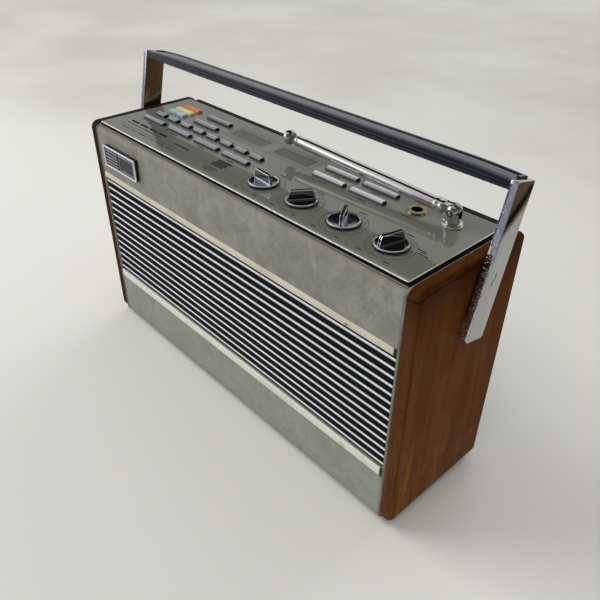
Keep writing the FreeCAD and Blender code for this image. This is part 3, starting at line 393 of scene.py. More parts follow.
def panel():
    mat = Material("panel")
    cloud = mat.noise(0.03, detail=4, rough=0.55)
    mat.base = mat.ramp(cloud, (0.3, (104, 106, 98)), (0.7, (111, 113, 104)))
    mat.paint(mat.x.map(-30.0, -110.0), (100, 101, 95))
    mat.paint(mat.noise(2.6, detail=2).map(0.70, 0.78) * 0.25, (144, 146, 137))
    # folded edge: polished corner line above a side painted black as the shade in the gap below
    # the panel
    corner = mat.face_z.map(0.985, 0.94) * mat.face_z.map(0.30, 0.5)
    side = mat.face_z.map(0.5, 0.30)
    dull = mat.noise(0.35, rough=0.6).map(0.35, 0.7)
    mat.paint(corner, mat.mix(dull, (238, 238, 232), (206, 204, 194)))
    mat.paint(side, (20, 20, 19))
    edge = most(corner, side)
    smear = mat.dust() * 0.07
    wipe = mat.noise(1.0, rough=0.6, stretch=(0.05, 0.6, 1))
    return mat.finish(mat.noise(1.0, detail=2, stretch=(0.25, 0.25, 1)) * 0.010, strength=0.5,
                      metal=corner * 0.55, rough=mat.lerp(edge, 0.4 + smear, 0.32),
                      spec=corner * 0.5, coat=1.0 - edge, coat_ior=1.56,
                      coat_rough=0.02 + (smear * 0.6 + wipe.map(0.55, 0.7) * 0.03))


def chrome(name, pits, tint, rough):
    """Plating with a dull haze and rust pits; pits is how strongly they show."""
    mat = Material(name)
    haze = mat.noise(0.14, detail=4, rough=0.6).map(0.35, 0.7)
    speck = mat.cells(1.25).map(0.20, 0.10)
    pit = speck * mat.noise(0.12, rough=0.6).map(0.48, 0.62) * pits
    hair = mat.noise(1.0, detail=2, stretch=(0.4, 3.0, 0.4))
    mat.base = mat.mix(haze * 0.22, tint, tuple(int(c * 0.84) for c in tint))
    mat.paint(pit, (86, 74, 62))
    return mat.finish(hair * 0.004 - pit * 0.04, strength=0.6, metal=1.0 - pit * 0.4,
                      rough=rough + haze * 0.05 + pit * 0.4)


def mottled(name, light, dark, scale, rough, relief, relief_scale=2.0, amount=0.5, round_mm=0.0,
            **inputs):
    """One colour drifting into another; rough is its lowest and highest roughness."""
    mat = Material(name)
    cloud = mat.noise(scale, detail=4, rough=0.6)
    mat.base = mat.mix(cloud.map(0.35, 0.7) * amount, light, dark)
    return mat.finish(mat.noise(relief_scale, rough=0.55) * relief, strength=0.8,
                      round_mm=round_mm, rough=cloud.map(0.3, 0.7, to=rough), **inputs)


def cream():
    mat = Material("cream")
    smear = mat.noise(1.0, detail=4, rough=0.6, stretch=(0.02, 1, 1))
    cloud = mat.noise(0.06, detail=4, rough=0.65)
    upper = mat.z.map(100.0, 110.0)  # the upper trim is yellower and darker than the lower: part its own tint, part painted shade
    mat.base = mat.mix(upper, (232, 232, 222), (214, 210, 190))
    mat.paint(cloud.map(0.42, 0.68) * 0.45, mat.mix(upper, (208, 208, 196), (186, 180, 158)))
    mat.paint(smear.map(0.56, 0.70) * 0.35, (176, 172, 156))
    spot = mat.cells(0.055).map(0.055, 0.030)
    mat.paint(spot * 0.9, (58, 52, 44))
    # worn place at the right end of the upper trim, stain on the lower
    worn = ((mat.x - 108.0) * 0.55) ** 2.0 + (mat.z - 127.2) ** 2.0
    stain = ((mat.x - 110.0) * 0.34) ** 2.0 + ((mat.z - 40.4) * 0.7) ** 2.0
    mat.paint(worn.map(1.1, 0.3) * 0.8, (92, 84, 70))
    mat.paint(stain.map(1.6, 0.2) * 0.45, (140, 136, 124))
    scratch = mat.noise(1.0, detail=2, shift=(0, 0, 50), stretch=(0.10, 1, 2.5))
    mat.paint(scratch.map(0.68, 0.72) * mat.x.map(80.0, 110.0) * 0.7, (246, 246, 240))
    return mat.finish(smear * 0.02 + spot * -0.08, strength=0.7,
                      rough=cloud.map(0.3, 0.7, to=(0.26, 0.42)), spec=0.5)


def cloth():
    mat = Material("cloth")
    # plain weave turned 35 degrees, 0.8 mm to the thread
    cos_turn, sin_turn, threads_per_mm = 0.819, 0.574, 1.25
    warp = (mat.x * cos_turn + mat.z * sin_turn) * threads_per_mm
    weft = (mat.z * cos_turn - mat.x * sin_turn) * threads_per_mm
    check = abs((warp.op("FLOOR") + weft.op("FLOOR")).op("MODULO", 2.0))
    thread = mat.lerp(check, abs(sine(warp * math.pi)), abs(sine(weft * math.pi)))
    slub = mat.noise(1.0, rough=0.6, stretch=(0.2, 1, 1.4))
    mat.base = mat.mix(thread.map(0.55, 1.0), (4, 5, 7), (40, 43, 46))
    mat.paint(slub.map(0.5, 0.7) * 0.25, (50, 52, 53))
    lint = mat.noise(1.8, detail=2).map(0.74, 0.80)
    mat.paint(lint * 0.5, (120, 120, 116))
    return mat.finish(thread * 0.12, strength=0.9, rough=0.88, spec=0.10)


def strip():
    mat = Material("strip")
    lines = mat.noise(1.0, rough=0.6, stretch=(0.06, 2, 5.0))
    cloud = mat.noise(0.05, rough=0.6)
    mat.base = mat.ramp(cloud, (0.3, (222, 223, 228)), (0.7, (234, 235, 239)))
    mat.paint(lines.map(0.50, 0.68) * 0.30, (196, 197, 203))
    mat.paint(abs(mat.face_z).map(0.55, 0.85), (30, 31, 34))  # dark top and bottom faces
    mat.paint(mat.cells(0.07).map(0.05, 0.03) * 0.6, (110, 108, 102))
    return mat.finish(lines * 0.02, strength=0.6, metal=0.10,
                      rough=lines.map(0.3, 0.7, to=(0.34, 0.5)))


def key_metal(name, light, dark, rough, metal):
    mat = Material(name)
    lines = mat.noise(1.0, rough=0.6, stretch=(0.10, 3.5, 3.5))
    wear = mat.noise(0.30, detail=4, rough=0.6).map(0.40, 0.68)
    mat.base = mat.mix(lines.map(0.40, 0.68) * 0.5, light, dark)
    mat.paint(wear * 0.25, dark)
    # painted shade: the front slope is greyer, and a painted shadow makes the foot of the front
    # and back faces nearly black
    foot_shadow = mat.z.map(168.9, 168.1) * abs(mat.face_y).map(0.45, 0.85)
    mat.paint(mat.face_y.map(-0.12, -0.40) * 0.45, (98, 102, 110))
    mat.paint(foot_shadow * 0.85, (30, 31, 36))
    return mat.finish(lines * 0.012, strength=0.6, metal=metal,
                      rough=lines.map(0.3, 0.7, to=(rough * 0.8, rough * 1.3)))


def key_plastic(name, light, dark):
    mat = Material(name)
    cloud = mat.noise(0.22, detail=4, rough=0.6)
    mat.base = mat.mix(cloud.map(0.35, 0.68), light, dark)
    mat.paint(mat.noise(1.4, rough=0.6).map(0.62, 0.72) * 0.4, dark)
    return mat.finish(mat.noise(1.6, detail=2) * 0.02, strength=0.6,
                      rough=cloud.map(0.3, 0.7, to=(0.26, 0.40)), spec=0.5)


def window_glass():
    mat = Material("window")
    cloud = mat.noise(0.08)
    up = mat.face_z.map(0.5, 0.9)
    # depth inside two clear rectangles, 32 by 10 mm, side by side
    depth = least(16.0 - abs(abs(mat.x + 20.8) - 21.9), 5.0 - abs(mat.y - 18.7))
    mat.base = mat.mix(cloud.map(0.35, 0.65), (60, 62, 57), (70, 72, 66))
    mat.paint(depth.map(1.0, 0.8) * up * 0.5, (46, 48, 44))
    return mat.finish(mat.noise(0.3, detail=2) * 0.01, strength=0.5,
                      rough=0.05 + mat.dust() * 0.1, spec=0.0, coat=0.9, coat_rough=0.03)


def grip_plastic():
    mat = Material("grip")
    cloud = mat.noise(0.5, detail=4, rough=0.6, stretch=(0.12, 1, 1))
    mat.base = mat.mix(cloud.map(0.35, 0.7), (12, 15, 26), (24, 29, 48))
    return mat.finish(mat.noise(1.0, stretch=(0.3, 1, 1)) * 0.012, strength=0.6,
                      rough=cloud.map(0.3, 0.7, to=(0.22, 0.36)), spec=0.55, coat=0.15,
                      coat_rough=0.12)


def brushed(name, light, dark, along, rough=(0.25, 0.42), metal=0.9):
    """Metal with brush lines; along stretches the line noise."""
    mat = Material(name)
    lines = mat.noise(1.0, rough=0.6, stretch=along)
    cloud = mat.noise(0.12, rough=0.6)
    mat.base = mat.mix(lines.map(0.38, 0.68), light, dark)
    mat.paint(cloud.map(0.45, 0.7) * 0.3, dark)
    return mat.finish(lines * 0.012, strength=0.6, metal=metal,
                      rough=lines.map(0.3, 0.7, to=rough))


def board_material():
    mat = Material("board")
    mat.base = mat.mix(mat.noise(0.2).map(0.35, 0.65), (96, 112, 60), (122, 134, 72))
    track = abs(sine(mat.x * 0.9)).map(0.10, 0.04)
    mat.paint(track * 0.5, (150, 120, 60))
    return mat.finish(track * 0.05, strength=0.6, rough=0.45)


def arm_chrome():
    mat = Material("arm_chrome")
    # heavier pitting and a bluish bloom on the narrow front faces
    front = mat.face_y.map(-0.6, -0.9)
    spots = mat.cells(0.95).map(0.42, 0.22)
    pit = spots * mat.noise(0.35, detail=4, rough=0.7).map(0.40, 0.60) * front
    mottle = mat.noise(0.5, detail=4, rough=0.7, stretch=(1, 1, 0.5)).map(0.38, 0.62)
    mat.base = (204, 203, 200)
    mat.paint(front * 0.8, mat.mix(mottle, (186, 185, 194), (220, 219, 229)))
    mat.paint(pit * 0.7, (84, 72, 70))
    inner = (mat.x.op("SIGN") * mat.face_x).map(-0.4, -0.7)
    mat.paint(inner, mat.mix(mottle, (150, 138, 116), (176, 163, 141)))
    # one long zigzag scratch through the plating on the right arm
    height = mat.z - 155.5
    across = mat.y - 7.0 - height * 0.55
    zigzag = sine(height * 1.5) * 0.45
    outward = mat.face_x.map(0.8, 0.95)
    line = abs(across - zigzag).map(0.62, 0.25) * abs(height).map(3.6, 3.2) * outward
    mat.paint(line, (24, 20, 18))
    haze = mat.noise(0.12, rough=0.6, stretch=(1, 1, 0.3)).map(0.4, 0.7)
    # polishing has left the top of the wide right face slightly twisted
    lower = least(most(mat.z - 186.0, -18.0), 18.0)
    slope = least(most((26.0 - mat.y) * 0.055, 0.0), 1.1)
    twist = slope * lower * -0.075 * mat.face_x.map(0.8, 0.95)
    return mat.finish(twist + (mat.noise(0.9) * 0.008 - most(pit, line) * 0.10), strength=1.0,
                      metal=1.0 - most(pit, line) * 0.6,
                      rough=0.03 + inner * 0.20 + haze * 0.04 + most(pit, line) * 0.4)


CHROME = chrome("chrome", pits=0.25, tint=(236, 235, 234), rough=0.04)
MATERIALS = {
    "leathercloth": leathercloth(),
    "wood": wood(),
    "piping": piping_skin(),
    "panel": panel(),
    "gasket": mottled("gasket", (14, 14, 13), (26, 25, 22), scale=0.5, rough=(0.7, 0.9),
                      relief=0.03),
    "window": window_glass(),
    "brass": mottled("brass", (188, 178, 142), (112, 100, 66), scale=0.55, rough=(0.14, 0.34),
                     relief=0.01, metal=1.0, amount=0.9, round_mm=0.25),
    "cream": cream(),
    "cloth": cloth(),
    "strip": strip(),
    "badge": mottled("badge_black", (12, 12, 13), (24, 24, 26), scale=0.6, rough=(0.22, 0.36),
                     relief=0.01),
    "steel": brushed("steel", (196, 194, 188), (136, 132, 124), along=(1.2, 1.2, 1.2)),
    "paper": mottled("paper", (34, 32, 30), (52, 48, 44), scale=1.2, rough=(0.85, 0.95),
                     relief=0.06),
    "ferrite": mottled("ferrite", (58, 58, 60), (40, 40, 42), scale=1.0, rough=(0.6, 0.8),
                       relief=0.05),
    "back": mottled("back_cover", (30, 30, 30), (46, 45, 43), scale=0.08, rough=(0.50, 0.70),
                    relief=0.09, relief_scale=1.1, round_mm=0.3),
    "rubber": mottled("rubber", (20, 20, 20), (34, 33, 32), scale=0.6, rough=(0.75, 0.9),
                      relief=0.04),
    "board": board_material(),
    "pot": brushed("pot", (186, 186, 180), (140, 138, 130), along=(0.4, 0.4, 3)),
    "black_plastic": mottled("black_plastic", (14, 14, 15), (28, 28, 30), scale=0.5,
                             rough=(0.26, 0.42), relief=0.02),
    "chrome": CHROME,
    "grip": grip_plastic(),
    "inlay": brushed("inlay", (205, 205, 206), (170, 170, 174), along=(0.04, 3, 3),
                     rough=(0.18, 0.34)),
    "knob": CHROME,
    "key_grey": key_metal("key_grey", (190, 193, 198), (148, 151, 156), rough=0.30, metal=0.40),
    "key_orange": key_plastic("key_orange", (226, 132, 66), (196, 104, 46)),
    "key_yellow": key_plastic("key_yellow", (222, 217, 168), (200, 194, 140)),
    "key_blue": key_plastic("key_blue", (166, 192, 190), (138, 166, 166)),
}
BLACK = MATERIALS["black_plastic"]
INK = mottled("ink", (22, 23, 22), (40, 42, 39), scale=0.9, rough=(0.5, 0.7), relief=0.004,
              amount=0.6, spec=0.15)
MODE_KEY = key_metal("mode_key_chrome", (252, 252, 255), (218, 220, 228), rough=0.16,
                     metal=0.10)
BADGE_BRIGHT = brushed("badge_bright", (238, 239, 240), (206, 207, 210), along=(0.3, 2, 2),
                       rough=(0.2, 0.34), metal=0.15)
BADGE_GREY = brushed("badge_grey", (176, 178, 181), (120, 122, 127), along=(0.3, 2, 2),
                     rough=(0.25, 0.4), metal=0.2)
ARM_CHROME = arm_chrome()
RIM_CHROME = chrome("knob_chrome", pits=0.10, tint=(248, 248, 246), rough=0.06)
DISC = chrome("knob_disc", pits=0.06, tint=(128, 133, 139), rough=0.04)
RAIL = mottled("rail_plastic", (60, 48, 38), (30, 25, 21), scale=0.25, rough=(0.45, 0.65),
               relief=0.03, amount=0.8)
GROOVE = mottled("groove_paint", (8, 8, 9), (18, 18, 19), scale=1.0, rough=(0.4, 0.6),
                 relief=0.01)

for name, obj in NODES.items():
    for material_slot in obj.material_slots:
        material_slot.material = MATERIALS[SLOT[name]]


# =====================================================================
# mesh helpers
# =====================================================================
def to_mesh(name, verts, faces):
    """Millimetre points to a mesh in metres."""
    mesh = bpy.data.meshes.new(name)
    mesh.from_pydata([tuple(c * MM for c in v) for v in verts], [], faces)
    return mesh


def piece(name, verts, faces, mats, body, parts=None, smooth=35.0, bevel=0.0, segs=2,
          replaces=None, slot=None):
    """Makes an object that rides on body. parts is a material number for each face."""
    mesh = to_mesh(name, verts, faces)
    mesh.validate()
    for mat in mats:
        mesh.materials.append(mat)
    if parts:
        mesh.polygons.foreach_set("material_index", parts)
    mesh.polygons.foreach_set("use_smooth", [True] * len(mesh.polygons))
    mesh.set_sharp_from_angle(angle=math.radians(smooth))
    mesh.update()
    obj = bpy.data.objects.new(name, mesh)
    scene.collection.objects.link(obj)
    if bevel:
        mod = obj.modifiers.new("edge", "BEVEL")
        mod.width, mod.segments = bevel * MM, segs
        mod.limit_method, mod.angle_limit = "ANGLE", math.radians(28)
        mod.harden_normals = True
        mod.miter_outer = "MITER_ARC"
    if replaces:
        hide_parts(replaces)
    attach(obj, body)


def loft(count, rows, order="plain", caps="last"):
    """Faces joining rows of count points each.

    order is plain, or reversed or turned, which both face the other way and differ only in
    the corner a quad starts from. caps is first, last, or none to join the last row to the first.
    """
    quads = []
    for row in range(rows if caps == "none" else rows - 1):
        here, there = row * count, (row + 1) % rows * count
        for k in range(count):
            after = (k + 1) % count
            quads.append([here + k, here + after, there + after, there + k])
    start, end = list(range(count)), list(range((rows - 1) * count, rows * count))
    ends = [start[::-1], end] if order == "plain" else [start, end[::-1]]
    if order == "reversed":
        quads = [quad[::-1] for quad in quads]
    if order == "turned":
        quads = [[a, d, c, b] for a, b, c, d in quads]
    return {"first": ends + quads, "last": quads + ends, "none": quads}[caps]


class Build:
    """Collects closed shells, with a material number (part) for each face."""

    def __init__(self):
        self.verts, self.faces, self.parts = [], [], []

    def shell(self, verts, faces, part=0, matrix=None):
        base = len(self.verts)
        if matrix is not None:
            verts = [matrix @ Vector(p) for p in verts]
        self.verts += [tuple(p) for p in verts]
        self.faces += [[base + i for i in face] for face in faces]
        self.parts += [part] * len(faces) if isinstance(part, int) else part
        return self

    def prism(self, outline, low, high, axis="z", part=0, matrix=None):
        """outline is counter-clockwise seen from +axis: (y, z), (x, z) or (x, y) points."""
        if axis == "y":
            outline = outline[::-1]
        put = {"x": lambda a, b, h: (h, a, b), "y": lambda a, b, h: (a, h, b),
               "z": lambda a, b, h: (a, b, h)}[axis]
        verts = [put(a, b, h) for h in (low, high) for a, b in outline]
        return self.shell(verts, loft(len(outline), 2, caps="first"), part, matrix)

    def block(self, x0, x1, y0, y1, z0, z1, part=0, matrix=None):
        return self.prism([(x0, y0), (x1, y0), (x1, y1), (x0, y1)], z0, z1, "z", part, matrix)

    def lathe(self, profile, seg=72, part=0, matrix=None, closed=False):
        """profile is (radius, height), going up the outside. Radius 0 closes an end."""
        verts, rings = [], []
        for radius, height in profile:
            if radius < 1e-6:
                rings.append([len(verts)])
                verts.append((0, 0, height))
                continue
            rings.append(list(range(len(verts), len(verts) + seg)))
            verts += [(radius * math.cos(2 * math.pi * k / seg),
                       radius * math.sin(2 * math.pi * k / seg), height) for k in range(seg)]
        faces, parts = [], []
        pairs = list(zip(rings, rings[1:])) + ([(rings[-1], rings[0])] if closed else [])
        for i, (low, high) in enumerate(pairs):
            for k in range(seg):
                after = (k + 1) % seg
                if len(low) == 1:
                    faces.append([high[k], high[after], low[0]])
                elif len(high) == 1:
                    faces.append([low[k], low[after], high[0]])
                else:
                    faces.append([low[k], low[after], high[after], high[k]])
                parts.append(part if isinstance(part, int) else part[i])
        return self.shell(verts, faces, parts, matrix)

    def make(self, name, mats, body, **options):
        piece(name, self.verts, self.faces, mats, body, parts=self.parts, **options)


def arc(cx, cy, radius, start, end, steps):
    angles = [math.radians(start + (end - start) * i / steps) for i in range(steps + 1)]
    return [(cx + radius * math.cos(a), cy + radius * math.sin(a)) for a in angles]


def round_rect(x0, x1, y0, y1, radius, steps=4):
    left, right, low, high = x0 + radius, x1 - radius, y0 + radius, y1 - radius
    return (arc(right, low, radius, -90, 0, steps) + arc(right, high, radius, 0, 90, steps)
            + arc(left, high, radius, 90, 180, steps) + arc(left, low, radius, 180, 270, steps))


def inset(outline, distance):
    """Offset a convex counter-clockwise outline inwards."""
    moved, count = [], len(outline)
    for i in range(count):
        before, here, after = (Vector(outline[k % count]) for k in (i - 1, i, i + 1))
        edge1, edge2 = (here - before).normalized(), (after - here).normalized()
        normal1, normal2 = Vector((-edge1.y, edge1.x)), Vector((-edge2.y, edge2.x))
        step = (normal1 + normal2) / (1 + normal1.dot(normal2))
        moved.append((here.x + step.x * distance, here.y + step.y * distance))
    return moved


def densify(points, step, whole=math.ceil):
    """Divide each leg of an open path into pieces of about one step."""
    dense = []
    for (a, b), (c, d) in zip(points, points[1:]):
        count = max(1, whole(math.hypot(c - a, d - b) / step))
        dense += [(a + (c - a) * i / count, b + (d - b) * i / count) for i in range(count)]
    dense.append(points[-1])
    return dense


def clamp(value):
    return max(0.0, min(1.0, value))


def turn(degrees, axis):
    return Matrix.Rotation(math.radians(degrees), 4, axis)


# =====================================================================
# leathercloth sleeve: thin skin stretched over the wooden walls
# =====================================================================
FRONT_R, BACK_R = 3.5, 5.0
WALL = 6.0
RECESS_DEPTH = 2.4
SLEEVE_STATIONS = 176

low, high = box_mm("cabinet_sleeve")
# outside of the (y, z) section: from the back under the cabinet, up the front, over the top
outer = [(high.y, low.z + WALL), (high.y, low.z + BACK_R)]
outer += arc(high.y - BACK_R, low.z + BACK_R, BACK_R, 0, -90, 8)[1:]
outer += arc(low.y + FRONT_R, low.z + FRONT_R, FRONT_R, -90, -180, 10)
outer += [(low.y, 44.8), (low.y + 0.15, 45.05), (low.y + RECESS_DEPTH, 45.1),
          (low.y + RECESS_DEPTH, 126.0), (low.y + 0.15, 126.05), (low.y, 126.3)]
outer += arc(low.y + FRONT_R, high.z - FRONT_R, FRONT_R, 180, 90, 10)[:-1]
outer += [(low.y + FRONT_R, high.z), (-40.9, high.z + 0.75), (-40.35, high.z + 0.95),
          (-40.0, high.z + 0.9), (-39.8, high.z + 0.2), (-39.2, high.z)]
outer += arc(high.y - BACK_R, high.z - BACK_R, BACK_R, 90, 0, 8)
outer += [(high.y, high.z - WALL)]
outer = densify(outer, 1.6)
inner = densify([(high.y, high.z - WALL), (low.y + WALL, high.z - WALL),
                 (low.y + WALL, low.z + WALL), (high.y, low.z + WALL)], 30.0)[1:-1]
section = outer + inner
points = np.array(section)
tangents = np.roll(points, -1, 0) - np.roll(points, 1, 0)
tangents /= np.linalg.norm(tangents, axis=1)[:, None]
normals = np.stack([-tangents[:, 1], tangents[:, 0]], 1)


def skin_lift(x, y, z, i):
    """How far the cloth moves along the section normal: waves, a fold, and flatter ends."""
    if i >= len(outer) or y > high.y - 0.5:
        return 0.0
    if 45.0 < z < 126.1 and y < -30:
        return -0.02
    wave = noise.noise(Vector((x * 0.018, y * 0.03, z * 0.03))) * 0.16
    wave += noise.noise(Vector((x * 0.07 + 9, y * 0.1, z * 0.09))) * 0.05
    if y < low.y + 1.0 and z > 131:
        narrow, wide = [x - STROKE_X - slope * (z - STROKE_Z) for slope in STROKE_SLOPES]
        fold = math.exp(-(narrow / 1.4) ** 2) + 0.6 * math.exp(-(wide / 1.8) ** 2)
        wave -= 0.34 * fold * clamp((z - 148) / 4) * clamp((164 - z) / 3)
        wave += 0.10 * math.sin(math.pi * clamp((z - 131) / 27))
    if 36.5 < z < 45.0 or 125.0 < z < 132.2:
        wave *= 0.15
    if z > 162.5 and y > -41:
        wave = min(wave, 0.02) * 0.5
    fade = min(1.0, min(x - low.x, high.x - x) / 4.0)
    return wave * fade - 0.10 * (1 - fade)


verts = []
for x in np.linspace(low.x, high.x, SLEEVE_STATIONS):
    for i, (y, z) in enumerate(section):
        lift = skin_lift(x, y, z, i)
        verts.append((x, y + normals[i][0] * lift, z + normals[i][1] * lift))
raw = to_mesh("sleeve_raw", verts, loft(len(section), SLEEVE_STATIONS))
bm = bmesh.new()
bm.from_mesh(raw)
bmesh.ops.recalc_face_normals(bm, faces=bm.faces)
bm.to_mesh(raw)
bm.free()

# the well cut through the top, in metres
WELL_SIZE, WELL_CENTRE = (0.268, 0.065, 0.030), (0.0, -0.0005, 0.1620)
cutter = bpy.data.meshes.new("well")
bm = bmesh.new()
bmesh.ops.create_cube(bm, size=1.0)
for vert in bm.verts:
    vert.co = Vector([c * size + mid for c, size, mid in zip(vert.co, WELL_SIZE, WELL_CENTRE)])
bm.to_mesh(cutter)
bm.free()
raw_obj, cutter_obj = [bpy.data.objects.new(mesh.name, mesh) for mesh in (raw, cutter)]
for obj in (raw_obj, cutter_obj):
    scene.collection.objects.link(obj)
mod = raw_obj.modifiers.new("well", "BOOLEAN")
mod.operation, mod.solver, mod.object = "DIFFERENCE", "EXACT", cutter_obj
bpy.context.view_layer.update()
depsgraph = bpy.context.evaluated_depsgraph_get()
cut = bpy.data.meshes.new_from_object(raw_obj.evaluated_get(depsgraph))
verts = [tuple(c / MM for c in v.co) for v in cut.vertices]
faces = [list(f.vertices) for f in cut.polygons]
for obj in (raw_obj, cutter_obj):
    bpy.data.objects.remove(obj)
for mesh in (raw, cutter, cut):
    bpy.data.meshes.remove(mesh)
piece("sleeve_skin", verts, faces, [MATERIALS["leathercloth"]], "cabinet", smooth=50,
      replaces="cabinet_sleeve", slot="leathercloth")

# =====================================================================
# piping: a rounded bead of vinyl on each side of the sleeve
# =====================================================================
PIPING_X, BEAD_R, BEAD_RISE, PIPING_DEPTH = 140.6, 1.1, 0.9, 7.5

low, high = box_mm("side_pipings")
path = round_rect(low.y, high.y, low.z, high.z, 3.9, 8)
path = densify(path + path[:1], 3.0, math.floor)[:-1]
# section: (distance outwards along x, depth inside the path)
section = [(0.0, PIPING_DEPTH), (0.0, BEAD_RISE)]
section += [(BEAD_R - BEAD_R * math.cos(math.radians(a)),
             BEAD_RISE - BEAD_RISE * math.sin(math.radians(a))) for a in range(15, 181, 15)]
section += [(2 * BEAD_R, PIPING_DEPTH)]
build = Build()
for side in (-1, 1):
    verts = []
    for i, (y, z) in enumerate(path):
        along = (Vector(path[(i + 1) % len(path)]) - Vector(path[i - 1])).normalized()
        for out, depth in section:
            depth += 0.05 * noise.noise(Vector((i * 0.21, side * 5, depth)))
            verts.append((side * (PIPING_X + out), y - along.y * depth, z + along.x * depth))
    order = "plain" if side < 0 else "reversed"
    build.shell(verts, loft(len(section), len(path), order, caps="none"))
build.make("piping_beads", [MATERIALS["piping"]], "cabinet", smooth=60,
           replaces="side_pipings", slot="piping")

# =====================================================================
# grille strips and cream trims, both with (y, z) sections
# =====================================================================
STRIP_COUNT, STRIP_Z, STRIP_PITCH, STRIP_HALF = 14, 48.3, 5.735, 0.9
TRIM_HEIGHTS = ((38.9, 45.1), (126.0, 130.3))  # bottom, top

low, high = box_mm("grille_strips")
front, back = low.y, high.y
build = Build()
for i in range(STRIP_COUNT):
    middle = STRIP_Z + STRIP_PITCH * i
    bottom, top = middle - STRIP_HALF, middle + STRIP_HALF
    build.prism([(back, bottom), (back, top), (front + 0.22, top), (front + 0.06, top - 0.08),
                 (front, top - 0.25), (front, bottom + 0.25), (front + 0.06, bottom + 0.08),
                 (front + 0.22, bottom)], low.x, high.x, "x")
build.make("strip_bars", [MATERIALS["strip"]], "cabinet", smooth=50, bevel=0.05,
           replaces="grille_strips", slot="strip")

low, high = box_mm("trim_strips")
front, back = low.y, high.y
build = Build()
for bottom, top in TRIM_HEIGHTS:
    build.prism([(back, bottom), (back, top), (front + 0.35, top), (front + 0.10, top - 0.10),
                 (front, top - 0.35), (front, top - 0.95), (front + 0.16, top - 1.10),
                 (front + 0.16, top - 1.30), (front, top - 1.45), (front, bottom + 0.35),
                 (front + 0.10, bottom + 0.10), (front + 0.35, bottom)], low.x, high.x, "x")
    for side in (-1, 1):  # black filler between the trim and the piping
        left, right = sorted((side * (high.x + 0.05), side * 140.5))
        build.block(left, right, front + 0.15, back, bottom - 0.3, top + 0.1, 1)
build.make("trim_bars", [MATERIALS["cream"], BLACK], "cabinet", smooth=40, bevel=0.05,
           replaces="trim_strips", slot="cream")

# =====================================================================
# badge: black plate, bright border, five bars and a small frame
# =====================================================================
CHAMFER = 0.25


def raised_frame(left, right, bottom, top, radius, width, front, back, part):
    """Raised rectangular frame with chamfered front edges."""

    def outline(shrink):
        return round_rect(left + shrink, right - shrink, bottom + shrink, top - shrink,
                          max(0.3, radius - shrink))

    outside, inside = outline(0), outline(width)
    loops = [(outside, back), (outside, front + CHAMFER), (outline(CHAMFER), front),
             (outline(width - CHAMFER), front), (inside, front + CHAMFER), (inside, back)]
    verts = [(x, y, z) for loop, y in loops for x, z in loop]
    build.shell(verts, loft(len(outside), len(loops), caps="none"), part)


low, high = box_mm("badge_plate")
left, right, bottom, top = low.x, high.x, low.z, high.z
front = low.y - 1.0
face = front + 0.75
build = Build()
build.prism(round_rect(left + 0.15, right - 0.15, bottom + 0.15, top - 0.15, 0.9), face, high.y,
            "y")
raised_frame(left + 0.1, right - 0.1, bottom + 0.1, top - 0.1, radius=1.1, width=1.15,
             front=front, back=front + 0.85, part=1)
for i in range(5):
    z = bottom + 3.1 + 2.3 * i
    build.prism([(face, z - 0.38), (face, z + 0.38), (front + 0.45, z + 0.28),
                 (front + 0.35, z + 0.12), (front + 0.35, z - 0.12), (front + 0.45, z - 0.28)],
                left + 2.6, left + 18.0, "x", 2)
raised_frame(left + 20.6, right - 2.4, bottom + 2.4, top - 2.4, radius=0.8, width=0.5,
             front=front + 0.3, back=front + 0.9, part=2)
build.make("badge", [MATERIALS["badge"], BADGE_BRIGHT, BADGE_GREY], "cabinet", smooth=40,
           bevel=0.06, replaces="badge_plate", slot="badge")

# =====================================================================
# gasket frame under the panel and ridged rail behind it
# =====================================================================
GASKET_Z0, GASKET_Z1 = 164.0, 165.2
RIDGES, RIDGE_PITCH = 5, 0.84

outside = round_rect(-140.4, 140.4, -40.1, 37.7, 1.4)
inside = round_rect(-134, 134, -33, 32, 1.0)
loops = [(outside, GASKET_Z0), (outside, GASKET_Z1), (inside, GASKET_Z1), (inside, GASKET_Z0)]
build = Build()
build.shell([(x, y, z) for loop, z in loops for x, y in loop],
            loft(len(outside), len(loops), caps="none"))
rail = [(38.25, GASKET_Z0), (40.9, GASKET_Z0)]
for i in range(RIDGES):
    ridge_y = 42.1 - (i + 0.5) * RIDGE_PITCH
    for offset, z in ((0.40, 166.2), (0.22, 166.7), (-0.22, 166.7), (-0.40, 166.2)):
        rail.append((38.3 + (ridge_y + offset - 37.9) * 0.62, z))
build.prism(rail, -134.3, 139.6, "x", 1)
for front, back in ((37.9, 38.75), (40.4, 41.1)):
    build.block(-134.5, 139.8, front, back, GASKET_Z0, 166.95)
build.make("rail_and_gasket", [MATERIALS["gasket"], RAIL], "cabinet", smooth=35,
           replaces="panel_gasket", slot="gasket")

# =====================================================================
# keys: a cap over a black carrier; metal caps leave the carrier showing at both ends
# =====================================================================
FLANGE = 0.6  # carrier beyond the cap all round
FLANGE_Z0, FLANGE_Z1 = 164.1, 165.1
KEY_END = 0.45  # length of carrier showing at each end

